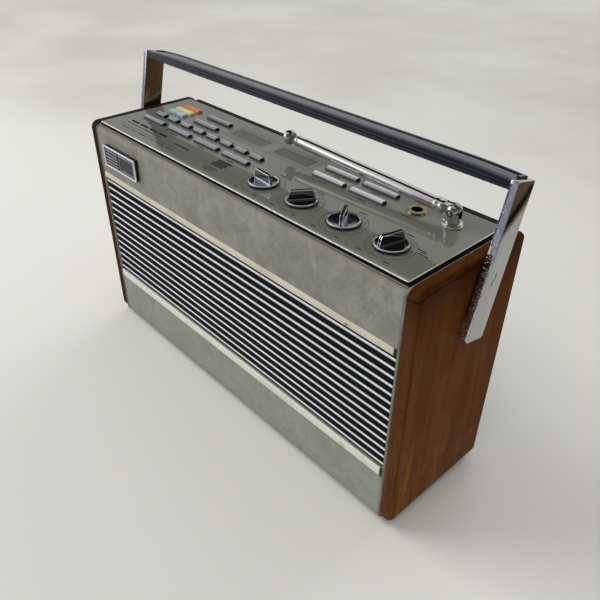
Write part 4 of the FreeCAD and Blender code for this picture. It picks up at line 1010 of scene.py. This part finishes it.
for name in sorted(NODES):
    if "_key" not in name:
        continue
    low, high = box_mm(name)
    left, right, front, back = low.x + FLANGE, high.x - FLANGE, low.y + FLANGE, high.y - FLANGE
    top = high.z
    x, y = (left + right) / 2, (front + back) / 2
    build = Build()
    build.block(low.x, high.x, low.y, high.y, FLANGE_Z0, FLANGE_Z1, 1)
    build.block(x - 2, x + 2, y - 1.2, y + 1.2, low.z, FLANGE_Z0, 1)
    options = dict(replaces=name, slot=SLOT[name])
    if name in ("orange_key", "yellow_key", "blue_key"):
        cap = [(back, FLANGE_Z1), (back, top - 0.5), (back - 0.15, top - 0.18),
               (back - 0.5, top), (front + 0.5, top), (front + 0.15, top - 0.18),
               (front, top - 0.5), (front, FLANGE_Z1)]
        build.prism(cap, left, right, "x")
        build.make(name + "_cap", [MATERIALS[SLOT[name]], BLACK], HOME[name], smooth=32,
                   bevel=0.22, segs=3, **options)
        continue
    cap = [(back, FLANGE_Z1), (back, top - 0.85), (back - 0.28, top - 0.42),
           (back - 0.85, top - 0.06), (y + 0.15, top), (y - 0.15, top - 0.02),
           (front + 0.85, top - 0.22), (front + 0.28, top - 0.62), (front, top - 1.05),
           (front, FLANGE_Z1)]
    build.prism(cap, left + KEY_END, right - KEY_END, "x")
    plug = [(back - 0.12, FLANGE_Z1), (back - 0.12, top - 0.95), (back - 0.95, top - 0.22),
            (front + 0.95, top - 0.30), (front + 0.12, top - 1.10), (front + 0.12, FLANGE_Z1)]
    build.prism(plug, left, left + KEY_END + 0.3, "x", 1)
    build.prism(plug, right - KEY_END - 0.3, right, "x", 1)
    metal = MODE_KEY if name.startswith("mode_key") else MATERIALS["key_grey"]
    build.make(name + "_cap", [metal, BLACK], HOME[name], smooth=30, bevel=0.10, **options)

# =====================================================================
# knobs: black skirt, chromed dish and an upright finger plate with a painted groove
# =====================================================================
KNOB_TURNS = [-5, 57, 123, 78]  # degrees
# (radius, height above the panel)
SKIRT = [(0, -10.4), (2.9, -10.4), (3.0, -10.2), (3.0, 0.3), (9.15, 0.3), (9.4, 0.45),
         (9.4, 1.05), (9.25, 1.2), (8.6, 1.25), (0, 1.25)]
DISH = [(0, 1.26), (8.95, 1.26), (9.08, 1.38), (9.08, 1.72), (8.98, 1.95), (8.75, 2.08),
        (8.48, 2.05), (8.28, 1.88), (8.15, 1.62), (7.6, 1.50), (4.0, 1.44), (0, 1.42)]
# finger plate outline (x, z), then its layers (y, outline) through the thickness
FIN = [(-8.05, 1.35), (8.05, 1.35), (7.85, 3.0), (7.35, 5.5), (6.9, 6.6), (6.1, 7.4),
       (-6.1, 7.4), (-6.9, 6.6), (-7.35, 5.5), (-7.85, 3.0)]
groove, soft, plate, hollow = (inset(FIN, distance) for distance in (0.38, 0.16, 0.62, 0.74))
FIN_LAYERS = [(-0.90, hollow), (-1.0, plate), (-1.0, soft), (-0.84, FIN), (-0.40, FIN),
              (-0.34, groove), (0.34, groove), (0.40, FIN), (0.84, FIN), (1.0, soft),
              (1.0, plate), (0.90, hollow)]

fin_verts = [(x, y, z) for y, outline in FIN_LAYERS for x, z in outline]
fin_faces = loft(len(FIN), len(FIN_LAYERS), order="turned", caps="first")
fin_parts = [3, 3]  # disc chrome on the two caps, paint on the three groove bands
for band in range(len(FIN_LAYERS) - 1):
    fin_parts += [2 if band in (4, 5, 6) else 1] * len(FIN)
for i, degrees in enumerate(KNOB_TURNS):
    name = "knob_%d" % (i + 1)
    at = Matrix.Translation((KNOB_X[i], KNOB_Y, PANEL_TOP)) @ turn(degrees, "Z")
    build = Build()
    build.lathe(SKIRT, 96, 0, at)
    build.lathe(DISH, 96, [1] * 7 + [3] * 4, at)
    build.shell(fin_verts, fin_faces, fin_parts, at)
    build.make(name + "_turned", [BLACK, RIM_CHROME, GROOVE, DISC], HOME[name], smooth=30,
               replaces=name, slot="knob")

# =====================================================================
# carrying handle, built upright about its pivot and then leaned
# =====================================================================
PIVOT = Matrix.Translation((0, 1.6, 130.2)) @ turn(-13.1, "X")
ARM_IN, ARM_OUT = 151.7, 156.0
ARM_HEIGHTS = [-8.8, -8.72, -8.5, -8.1, -7.6, -7.1, -6.4, -4.0, 0, 6, 12, 18, 24, 30, 36, 42,
               48, 54, 60, 66, 70, 73, 74.3, 74.75, 74.93, 75.0]
EDGE = 0.42  # rounding of the outer edges


def arm_section(height):
    """(x, y) loop of the right arm at a height above the pivot."""
    rise = (height - ARM_HEIGHTS[0]) / (ARM_HEIGHTS[-1] - ARM_HEIGHTS[0])
    front, rear = -7.2 - 0.4 * rise, 8.2 - 0.6 * rise
    if height < -7.6:
        front += 1.2 * ((-7.6 - height) / 1.2) ** 1.5
    if height < -7.1:
        rear -= 1.7 * ((-7.1 - height) / 1.7)
    soft = 0.0
    if height > 74.3:
        soft = 0.45 * (1 - math.sqrt(max(0.0, 1 - ((height - 74.3) / 0.7) ** 2)))
    if height < -8.3:
        soft = 0.45 * (1 - math.sqrt(max(0.0, 1 - ((-8.3 - height) / 0.5) ** 2)))
    inner, outer = ARM_IN + soft * 0.5, ARM_OUT - soft
    front, rear = front + soft, rear - soft
    loop = [(inner + 0.3, front), (outer - EDGE, front), (outer - 0.14, front + 0.12),
            (outer, front + EDGE)]
    # the wide face is very slightly hollow across and rolls off near the top
    for k in range(1, 6):
        hollow = 0.05 * math.sin(math.pi * k / 6) + 0.10 * max(0.0, rise - 0.7) * (1 - k / 6)
        loop.append((outer - hollow, front + EDGE + (rear - front - 2 * EDGE) * k / 6))
    return loop + [(outer, rear - EDGE), (outer - 0.14, rear - 0.12), (outer - EDGE, rear),
                   (inner + 0.3, rear), (inner + 0.08, rear - 0.08), (inner, rear - 0.3),
                   (inner, front + 0.3), (inner + 0.08, front + 0.08)]


for side, name in ((-1, "left_handle_arm"), (1, "right_handle_arm")):
    rows = [[(side * x, y, height) for x, y in arm_section(height)] for height in ARM_HEIGHTS]
    faces = loft(len(rows[0]), len(rows), "plain" if side > 0 else "reversed")
    build = Build().shell(sum(rows, []), faces, 0, PIVOT)
    build.make(name + "_bar", [ARM_CHROME], "handle", smooth=24, replaces=name, slot="chrome")

GRIP_END = 151.72
# (y, z) section of the grip: back lip, channel for the inlay, top, then three ribs in front
GRIP = [(7.8, 70.9), (7.8, 75.8), (7.68, 76.15), (7.3, 76.3), (6.1, 76.3), (5.87, 76.15),
        (5.8, 75.9), (5.8, 74.25), (0.6, 74.25), (0.6, 75.35), (0.45, 75.55), (0.2, 75.62),
        (-1.0, 75.6), (-2.6, 75.52), (-4.2, 75.42), (-5.4, 75.3), (-6.2, 75.12), (-6.7, 74.9)]
for i in (2, 1, 0):
    z = 70.4 + 1.6 * i
    GRIP += [(-6.85, z + 1.42), (-7.35, z + 1.25), (-7.6, z + 0.92), (-7.6, z + 0.48),
             (-7.35, z + 0.15), (-6.85, z - 0.02)]
GRIP += [(-6.4, 69.95), (-6.1, 69.9), (7.0, 69.9), (7.6, 70.2)]
INLAY = [(5.75, 74.28), (5.75, 75.05), (5.4, 75.25), (3.4, 75.28), (3.2, 75.2), (3.0, 75.28),
         (1.0, 75.25), (0.65, 75.05), (0.65, 74.28)]


def droop(x):
    """The moulding is straight in the middle and falls away near the arms."""
    far = max(0.0, (abs(x) - 118.0) / 33.7)
    return 0.55 - 1.15 * far * far


def swept_bar(build, outline, x_end):
    stations = [-x_end, -x_end + 0.25]
    stations += [x_end * (2 * i / 60 - 1) for i in range(1, 60)]
    stations += [x_end - 0.25, x_end]
    verts = [(x, y, z + droop(x) * clamp((z - 70.4) / 4.0)) for x in stations
             for y, z in outline]
    build.shell(verts, loft(len(outline), len(stations), order="turned"), 0, PIVOT)


build = Build()
swept_bar(build, GRIP, GRIP_END)
for side in (-1, 1):  # the channel is closed at each end
    left, right = sorted((side * (GRIP_END - 0.05), side * (GRIP_END - 1.9)))
    build.block(left, right, 0.3, 6.0, 74.3, 75.72, 0, PIVOT)
build.make("grip_bar", [MATERIALS["grip"]], "handle", smooth=28, replaces="handle_grip",
           slot="grip")
build = Build()
swept_bar(build, INLAY, GRIP_END - 2.0)
build.make("grip_strip", [MATERIALS["inlay"]], "handle", smooth=28, replaces="grip_inlay",
           slot="inlay")

# =====================================================================
# telescopic aerial: turned pieces laid along the folded mast, towards -x from the hinge
# =====================================================================
POST = Matrix.Translation((AERIAL_X, AERIAL_Y, 0))
LEAN = Matrix.Translation((AERIAL_X, AERIAL_Y, HINGE_Z)) @ turn(1.9, "Y")
MAST = LEAN @ turn(-90, "Y")
# (radius, distance from the hinge)
TUBE = [(0, 5.3), (3.7, 5.3), (4.0, 5.45), (4.1, 5.75), (4.1, 7.5), (4.0, 7.8), (3.72, 7.95),
        (3.72, 8.7), (4.0, 8.85), (4.1, 9.15), (4.1, 10.9), (4.0, 11.2), (3.75, 11.35),
        (3.6, 11.5), (3.6, 107.6), (3.58, 108.4), (3.5, 109.6), (3.36, 111.4), (3.18, 114.6),
        (3.1, 115.0), (3.25, 115.15), (3.35, 115.4), (3.35, 116.6), (3.2, 116.95),
        (2.9, 117.0), (2.85, 116.9), (2.85, 107.9), (3.1, 107.7), (3.1, 12.3), (0, 12.3)]
SECOND = [(3.05, 14.3), (3.05, 18.2), (2.8, 18.4), (2.8, 117.7), (2.6, 118.2), (2.15, 118.2),
          (2.05, 118.0), (2.05, 111.2), (2.3, 111.0), (2.3, 14.3)]
THIRD = [(2.25, 16.3), (2.25, 20.2), (2.0, 20.4), (2.0, 119.0), (1.8, 119.4), (1.35, 119.4),
         (1.25, 119.2), (1.25, 111.2), (1.5, 111.0), (1.5, 16.3)]
TIP = [(0, 18.3), (1.45, 18.3), (1.45, 22.2), (1.2, 22.4), (1.2, 121.6), (3.0, 121.6),
       (3.35, 121.7)]
TIP += [(3.2 + 1.5 * math.cos(math.radians(a)), 124.3 + 2.45 * math.sin(math.radians(a)))
        for a in range(-75, 76, 10)]
TIP += [(3.3, 126.95), (2.4, 127.25), (0, 127.4)]


def make_aerial(build, name, body, node, smooth=40, mats=(CHROME,)):
    build.make(name, mats, body, smooth=smooth, replaces=node, slot="chrome")


build = Build().lathe(TUBE, 72, 0, MAST)
# tongue between the halves of the post
build.prism([(-5.5, -2.4)] + arc(0, 0, 2.4, -90, 90, 14) + [(-5.5, 2.4)], -1.5, 1.5, "y", 0, LEAN)
make_aerial(build, "mast_tube", "aerial_mast", "aerial_outer_tube")
make_aerial(Build().lathe(SECOND, 64, 0, MAST, closed=True),
            "mast_second", "aerial_second", "aerial_second_section")
make_aerial(Build().lathe(THIRD, 56, 0, MAST, closed=True),
            "mast_third", "aerial_third", "aerial_third_section")
make_aerial(Build().lathe(TIP, 64, 0, MAST), "mast_tip", "aerial_tip", "aerial_tip_section")

# post: half a domed cylinder on each side of the slot for the tongue
FOOT = PANEL_TOP + 2.3
POST_R, DOME_Z, HALF_GAP, POST_STEPS = 4.25, 175.4, 1.55, 20
post_rows = [(3.4, FOOT), (3.55, FOOT + 0.25), (4.1, FOOT + 0.35), (POST_R, FOOT + 0.6),
             (POST_R, DOME_Z)]
post_rows += [(POST_R * math.cos(math.radians(a)), DOME_Z + POST_R * math.sin(math.radians(a)))
              for a in range(8, 70, 7)]
build = Build()
for side in (-1, 1):
    verts = []
    for radius, z in post_rows:
        radius = max(radius, HALF_GAP + 0.05)
        start = math.asin(HALF_GAP / radius)
        for k in range(POST_STEPS + 1):
            angle = start + (math.pi - 2 * start) * k / POST_STEPS
            verts.append((radius * math.cos(angle), side * radius * math.sin(angle), z))
    faces = loft(POST_STEPS + 1, len(post_rows), "plain" if side > 0 else "reversed")
    build.shell(verts, faces, 0, POST)
build.lathe([(0, FOOT), (3.9, FOOT), (4.2, FOOT + 0.15), (POST_R, FOOT + 0.4), (POST_R, 171.4),
             (4.1, 171.6), (0, 171.6)], 64, 0, POST)
build.lathe([(0, FOOT - 18.2), (3.5, FOOT - 18.2), (3.5, FOOT - 17.3), (2.5, FOOT - 17.2),
             (2.5, FOOT + 0.05), (0, FOOT + 0.05)], 40, 0, POST)
make_aerial(build, "post_turned", "aerial_swivel", "aerial_post", smooth=35)

# collar on the panel: (radius, height above the panel)
COLLAR = [(2.6, -15), (4.0, -15), (4.0, 0.02), (5.5, 0.02), (5.65, 0.15), (5.65, 0.75),
          (5.5, 0.95), (5.25, 1.05), (5.2, 1.2), (5.4, 1.4), (5.42, 1.75), (5.2, 2.05),
          (4.7, 2.18), (2.6, 2.2)]
build = Build().lathe([(radius, PANEL_TOP + z) for radius, z in COLLAR], 72, 0, POST, closed=True)
make_aerial(build, "collar_turned", "cabinet", "aerial_collar", smooth=32)

# hinge pin along y, in a dark ring at each end
pin = POST @ Matrix.Translation((0, 0, HINGE_Z)) @ turn(90, "X")
build = Build()
for at in (pin, pin @ Matrix.Rotation(math.pi, 4, "X")):
    build.lathe([(1.25, 3.3), (1.85, 3.3), (1.85, 4.22), (1.7, 4.34), (1.35, 4.34),
                 (1.25, 4.2)], 40, 1, at, closed=True)
build.lathe([(0, -3.95), (1.05, -3.95), (1.2, -3.8), (1.2, 3.8), (1.05, 3.95), (0, 3.95)],
            40, 0, pin)
make_aerial(build, "hinge_rivet", "aerial_swivel", "aerial_hinge_pin", smooth=32,
            mats=[CHROME, GROOVE])

# =====================================================================
# printing on the panel: rings and ticks round the knobs, frame lines round the
# windows, and plain dashes where lettering would be
# =====================================================================
INK_TOP = PANEL_TOP + 0.035
build = Build()


def ink_block(x0, x1, y0, y1, matrix=None):
    build.block(x0, x1, y0, y1, PANEL_TOP, INK_TOP, 0, matrix)


def ink_ring(cx, cy, radius, width, seg=96):
    verts, faces = [], []
    for z in (PANEL_TOP, INK_TOP):
        for edge in (radius - width / 2, radius + width / 2):
            verts += [(cx + edge * math.cos(2 * math.pi * k / seg),
                       cy + edge * math.sin(2 * math.pi * k / seg), z) for k in range(seg)]
    in_low, out_low, in_top, out_top = 0, seg, 2 * seg, 3 * seg
    for k in range(seg):
        after = (k + 1) % seg
        faces += [[in_top + k, out_top + k, out_top + after, in_top + after],
                  [in_low + k, in_low + after, out_low + after, out_low + k],
                  [out_low + k, out_low + after, out_top + after, out_top + k],
                  [in_low + k, in_top + k, in_top + after, in_low + after]]
    build.shell(verts, faces)


def dash(x, y, length, width, degrees=0.0):
    at = Matrix.Translation((x, y, 0)) @ turn(degrees, "Z")
    ink_block(-length / 2, length / 2, -width / 2, width / 2, at)


def ink_frame(x0, x1, y0, y1, width):
    half = width / 2
    for y in (y0, y1):
        ink_block(x0 - half, x1 + half, y - half, y + half)
    for x in (x0, x1):
        ink_block(x - half, x + half, y0 + half, y1 - half)


for x in KNOB_X:
    ink_ring(x, KNOB_Y, 12.9, 0.22)
    for k in range(11):
        angle = math.radians(-216 + 28.8 * k)
        dash(x + 11.2 * math.cos(angle), KNOB_Y + 11.2 * math.sin(angle), 0.7, 0.42,
             math.degrees(angle))
    dash(x - 8.6, KNOB_Y - 13.6, 3.6, 0.75)
    dash(x + 8.6, KNOB_Y - 13.6, 3.2, 0.75)
    dash(x, KNOB_Y + 15.2, 5.0, 0.75)
# three lines behind and to the right of the last knob
for x, y, length in ((13.2, 7.5, 5.2), (14.8, 5.9, 4.0), (16.0, 4.2, 6.4)):
    dash(KNOB_X[3] + x, KNOB_Y + y, length, 0.7)
for left in (-60.6, -16.8):
    ink_frame(left, left + 35.8, 12.0, 25.4, 0.22)
ink_frame(-62.4, 20.8, 10.2, 27.2, 0.25)
# block at the front left: a row of large marks, finer lines and a rule
for k in range(4):
    dash(-121.5 + 11.5 * k, -22.0, 9.5, 2.2)
dash(-104.3, -25.6, 44.0, 0.7)
dash(-61.0, -24.6, 16.0, 1.4)
ink_block(-127, -50, -29.5, -29.25)
x = -122.0
for length in (9, 6, 11, 7, 9, 8):
    dash(x + length / 2, -32.2, length, 0.7)
    x += length + 2.4
# column left of the knobs
for k in range(4):
    dash(-21.0, -19.6 - 2.2 * k, 13.0 - 1.8 * (k % 2), 1.6)
for k in range(3):
    dash(-21.0, -30.0 - 1.7 * k, 12.0 - 2.2 * k, 0.6)
# two rows on the left half, then a dash in front of each of five places on the right
for i in range(8):
    dash(-120.0 + 15.3 * i, 4.0, 2.2, 0.8)
for i in range(4):
    dash(-113.2 + 30.8 * i, -16.0, 6.5, 0.8)
for y in (21.5, 10.0):
    for x in (39.9, 70.0):
        dash(x, y - 4.6, 6.0, 0.7)
dash(99.0, 8.6, 7.0, 0.7)
build.make("panel_print", [INK], "cabinet", smooth=30)


# =====================================================================
# floor
# =====================================================================
def floor_material():
    mat = Material("floor")
    cloud = mat.noise(0.004)
    away = mat.x * 0.80 + mat.y * 0.60  # distance from the camera's side to the far right, along which the floor is painted darker and warmer as painted shade of the light falling off
    mat.base = mat.mix(away.map(60.0, 700.0, smooth=True), (227, 226, 221), (206, 200, 185))
    reach = (mat.x * mat.x + mat.y * mat.y).op("SQRT")
    behind = reach.map(260.0, 800.0) * mat.y.map(0.0, 200.0)
    mat.paint(behind * 0.9, (190, 188, 180))
    mat.paint(cloud.map(0.35, 0.65) * 0.35, (229, 228, 223))
    return mat.finish(mat.noise(0.6, detail=2) * 0.01, strength=0.3, rough=0.6, spec=0.1)


FLOOR_HALF = 9000.0
corners = [(-1, -1), (1, -1), (1, 1), (-1, 1)]
floor_mat = floor_material()
mesh = to_mesh("floor", [(x * FLOOR_HALF, y * FLOOR_HALF, 0) for x, y in corners],
               [(0, 1, 2, 3)])
mesh.materials.append(floor_mat)
floor = bpy.data.objects.new("floor", mesh)
scene.collection.objects.link(floor)
floor.visible_glossy = False

# =====================================================================
# world: one room that lights, another for mirrors, and a plain backdrop for the camera
# x, y and z are parts of the view direction
# =====================================================================
world = bpy.data.worlds.new("studio")
scene.world = world
world.use_nodes = True
sky = Graph(world.node_tree)
glossy_ray = sky.node("LightPath", {}, "Is Glossy Ray")
x, y, z = sky.split(sky.node("TexCoord", {}, "Generated"))

# what lights the scene: a pale room, warmer to the right
calm = sky.ramp(z.map(-1.0, 1.0), (0.48, (0.42, 0.42, 0.41, 1)), (0.56, (0.58, 0.58, 0.57, 1)),
                (0.72, (0.40, 0.41, 0.42, 1)), (0.95, (0.62, 0.63, 0.66, 1)))
calm = calm.painted(x.map(0.0, 0.8) * z.map(0.9, 0.2) * 0.6, (0.44, 0.38, 0.30, 1))

# what polished parts mirror, above the horizon: white coursed wall at the back left, a pale
# patch high on the left, ceiling, window at the front left, and the dimmer front
wall = (x * -0.72 + y * 0.69).map(-0.25, 0.30, smooth=True)
room = sky.mix(wall, (0.080, 0.072, 0.062, 1), (0.60, 0.60, 0.585, 1))
patch = z.map(0.50, 0.60) * (x.map(-0.30, -0.50) * y.map(0.30, 0.05))
room = room.painted(patch, (0.62, 0.57, 0.54, 1))
courses = abs(sine(z * 34.0)).map(0.10, 0.02)
room = room.painted(courses * wall * 0.25, (0.36, 0.36, 0.35, 1))
room = room.painted(z.map(0.72, 0.92) * 0.9, (0.42, 0.43, 0.46, 1))
window = (x.map(-0.42, -0.66) * y.map(-0.10, -0.40)) * (z.map(0.00, 0.03) * z.map(0.56, 0.46))
room = room.painted(window, (1.45, 1.47, 1.55, 1))

# below the horizon: a table with a brown band and a black line at the front right
table = sky.mix(x.map(-0.3, 0.6), (0.56, 0.57, 0.58, 1), (0.41, 0.405, 0.375, 1))
dim = (z + y * 0.06).map(-0.358, -0.342) * x.map(0.18, 0.32)
table = table.painted(dim * y.map(-0.35, -0.1), (0.125, 0.080, 0.048, 1))
line = dim * (z + y * 0.06).map(-0.323, -0.333) * y.map(-0.35, -0.1)
table = table.painted(line, (0.006, 0.006, 0.005, 1))
front_low = z.map(-0.16, -0.05) * (x.map(-0.62, -0.50) * y.map(-0.2, -0.5))
table = table.painted(front_low, (0.30, 0.31, 0.37, 1))
left_low = z.map(-0.30, -0.22) * (x.map(-0.54, -0.58) * y.map(-0.35, -0.5))
table = table.painted(left_low, (0.10, 0.11, 0.15, 1))
front_room = (y.map(-0.5, -0.75) * z.map(0.40, 0.20)) * (x.map(-0.54, -0.46) * x.map(0.15, -0.10))
room = room.painted(front_room, (0.33, 0.33, 0.39, 1))
mirrored = sky.mix(z.map(-0.03, 0.01), table, room)


def background(colour, strength):
    return sky.node("Background", {0: colour, 1: strength})


both = sky.node("MixShader", {0: glossy_ray, 1: background(calm, strength=0.85),
                              2: background(mirrored, strength=1.0)})
seen = sky.node("MixShader", {0: glossy_ray.other("Is Camera Ray"), 1: both,
                              2: background((0.70, 0.695, 0.675, 1), strength=1.0)})
sky.put(sky.add("OutputWorld").inputs[0], seen)


# =====================================================================
# lights, in metres and watts
# =====================================================================
def softbox(name, at, aim, size, power, colour):
    light = bpy.data.lights.new(name, "AREA")
    light.shape = "RECTANGLE"
    light.size, light.size_y = size
    light.energy = power
    light.color = colour
    obj = bpy.data.objects.new(name, light)
    scene.collection.objects.link(obj)
    obj.location = at
    obj.rotation_euler = (Vector(aim) - Vector(at)).to_track_quat("-Z", "Y").to_euler()
    obj.visible_glossy = False


softbox("window_left", at=(-1.7, -0.9, 1.9), aim=(0, 0, 0.1), size=(1.6, 1.4), power=34,
        colour=(1.0, 0.99, 0.97))
softbox("window_back", at=(-0.5, 2.4, 1.7), aim=(0, 0, 0.1), size=(2.4, 1.2), power=26,
        colour=(0.96, 0.98, 1.0))
softbox("fill_front", at=(0.6, -2.4, 1.5), aim=(0, 0, 0.05), size=(2.2, 1.6), power=15,
        colour=(1.0, 0.99, 0.97))

# =====================================================================
# camera, in front and to the right, looking down
# =====================================================================
CAMERA_AT = (0.278423, -0.235041, 0.321392)
AZIMUTH, ELEVATION, ROLL = (math.radians(v) for v in (46.949, 35.068, 0.527))

camera = bpy.data.cameras.new("camera")
camera.sensor_width = 36.0
camera.lens = 37.857
camera.clip_start, camera.clip_end = 0.01, 60
camera_obj = bpy.data.objects.new("camera", camera)
scene.collection.objects.link(camera_obj)
back = Vector((math.sin(AZIMUTH) * math.cos(ELEVATION),
               -math.cos(AZIMUTH) * math.cos(ELEVATION), math.sin(ELEVATION)))
level = (-back).cross(Vector((0, 0, 1))).normalized()
upright = level.cross(-back)
right = level * math.cos(ROLL) + upright * math.sin(ROLL)
up = -level * math.sin(ROLL) + upright * math.cos(ROLL)
rows = [(right[k], up[k], back[k], CAMERA_AT[k]) for k in range(3)]
camera_obj.matrix_world = Matrix((*rows, (0, 0, 0, 1)))
scene.camera = camera_obj

scene.view_settings.view_transform = "Standard"
scene.view_settings.look = "None"
scene.view_settings.exposure = 0.0

bpy.context.view_layer.update()
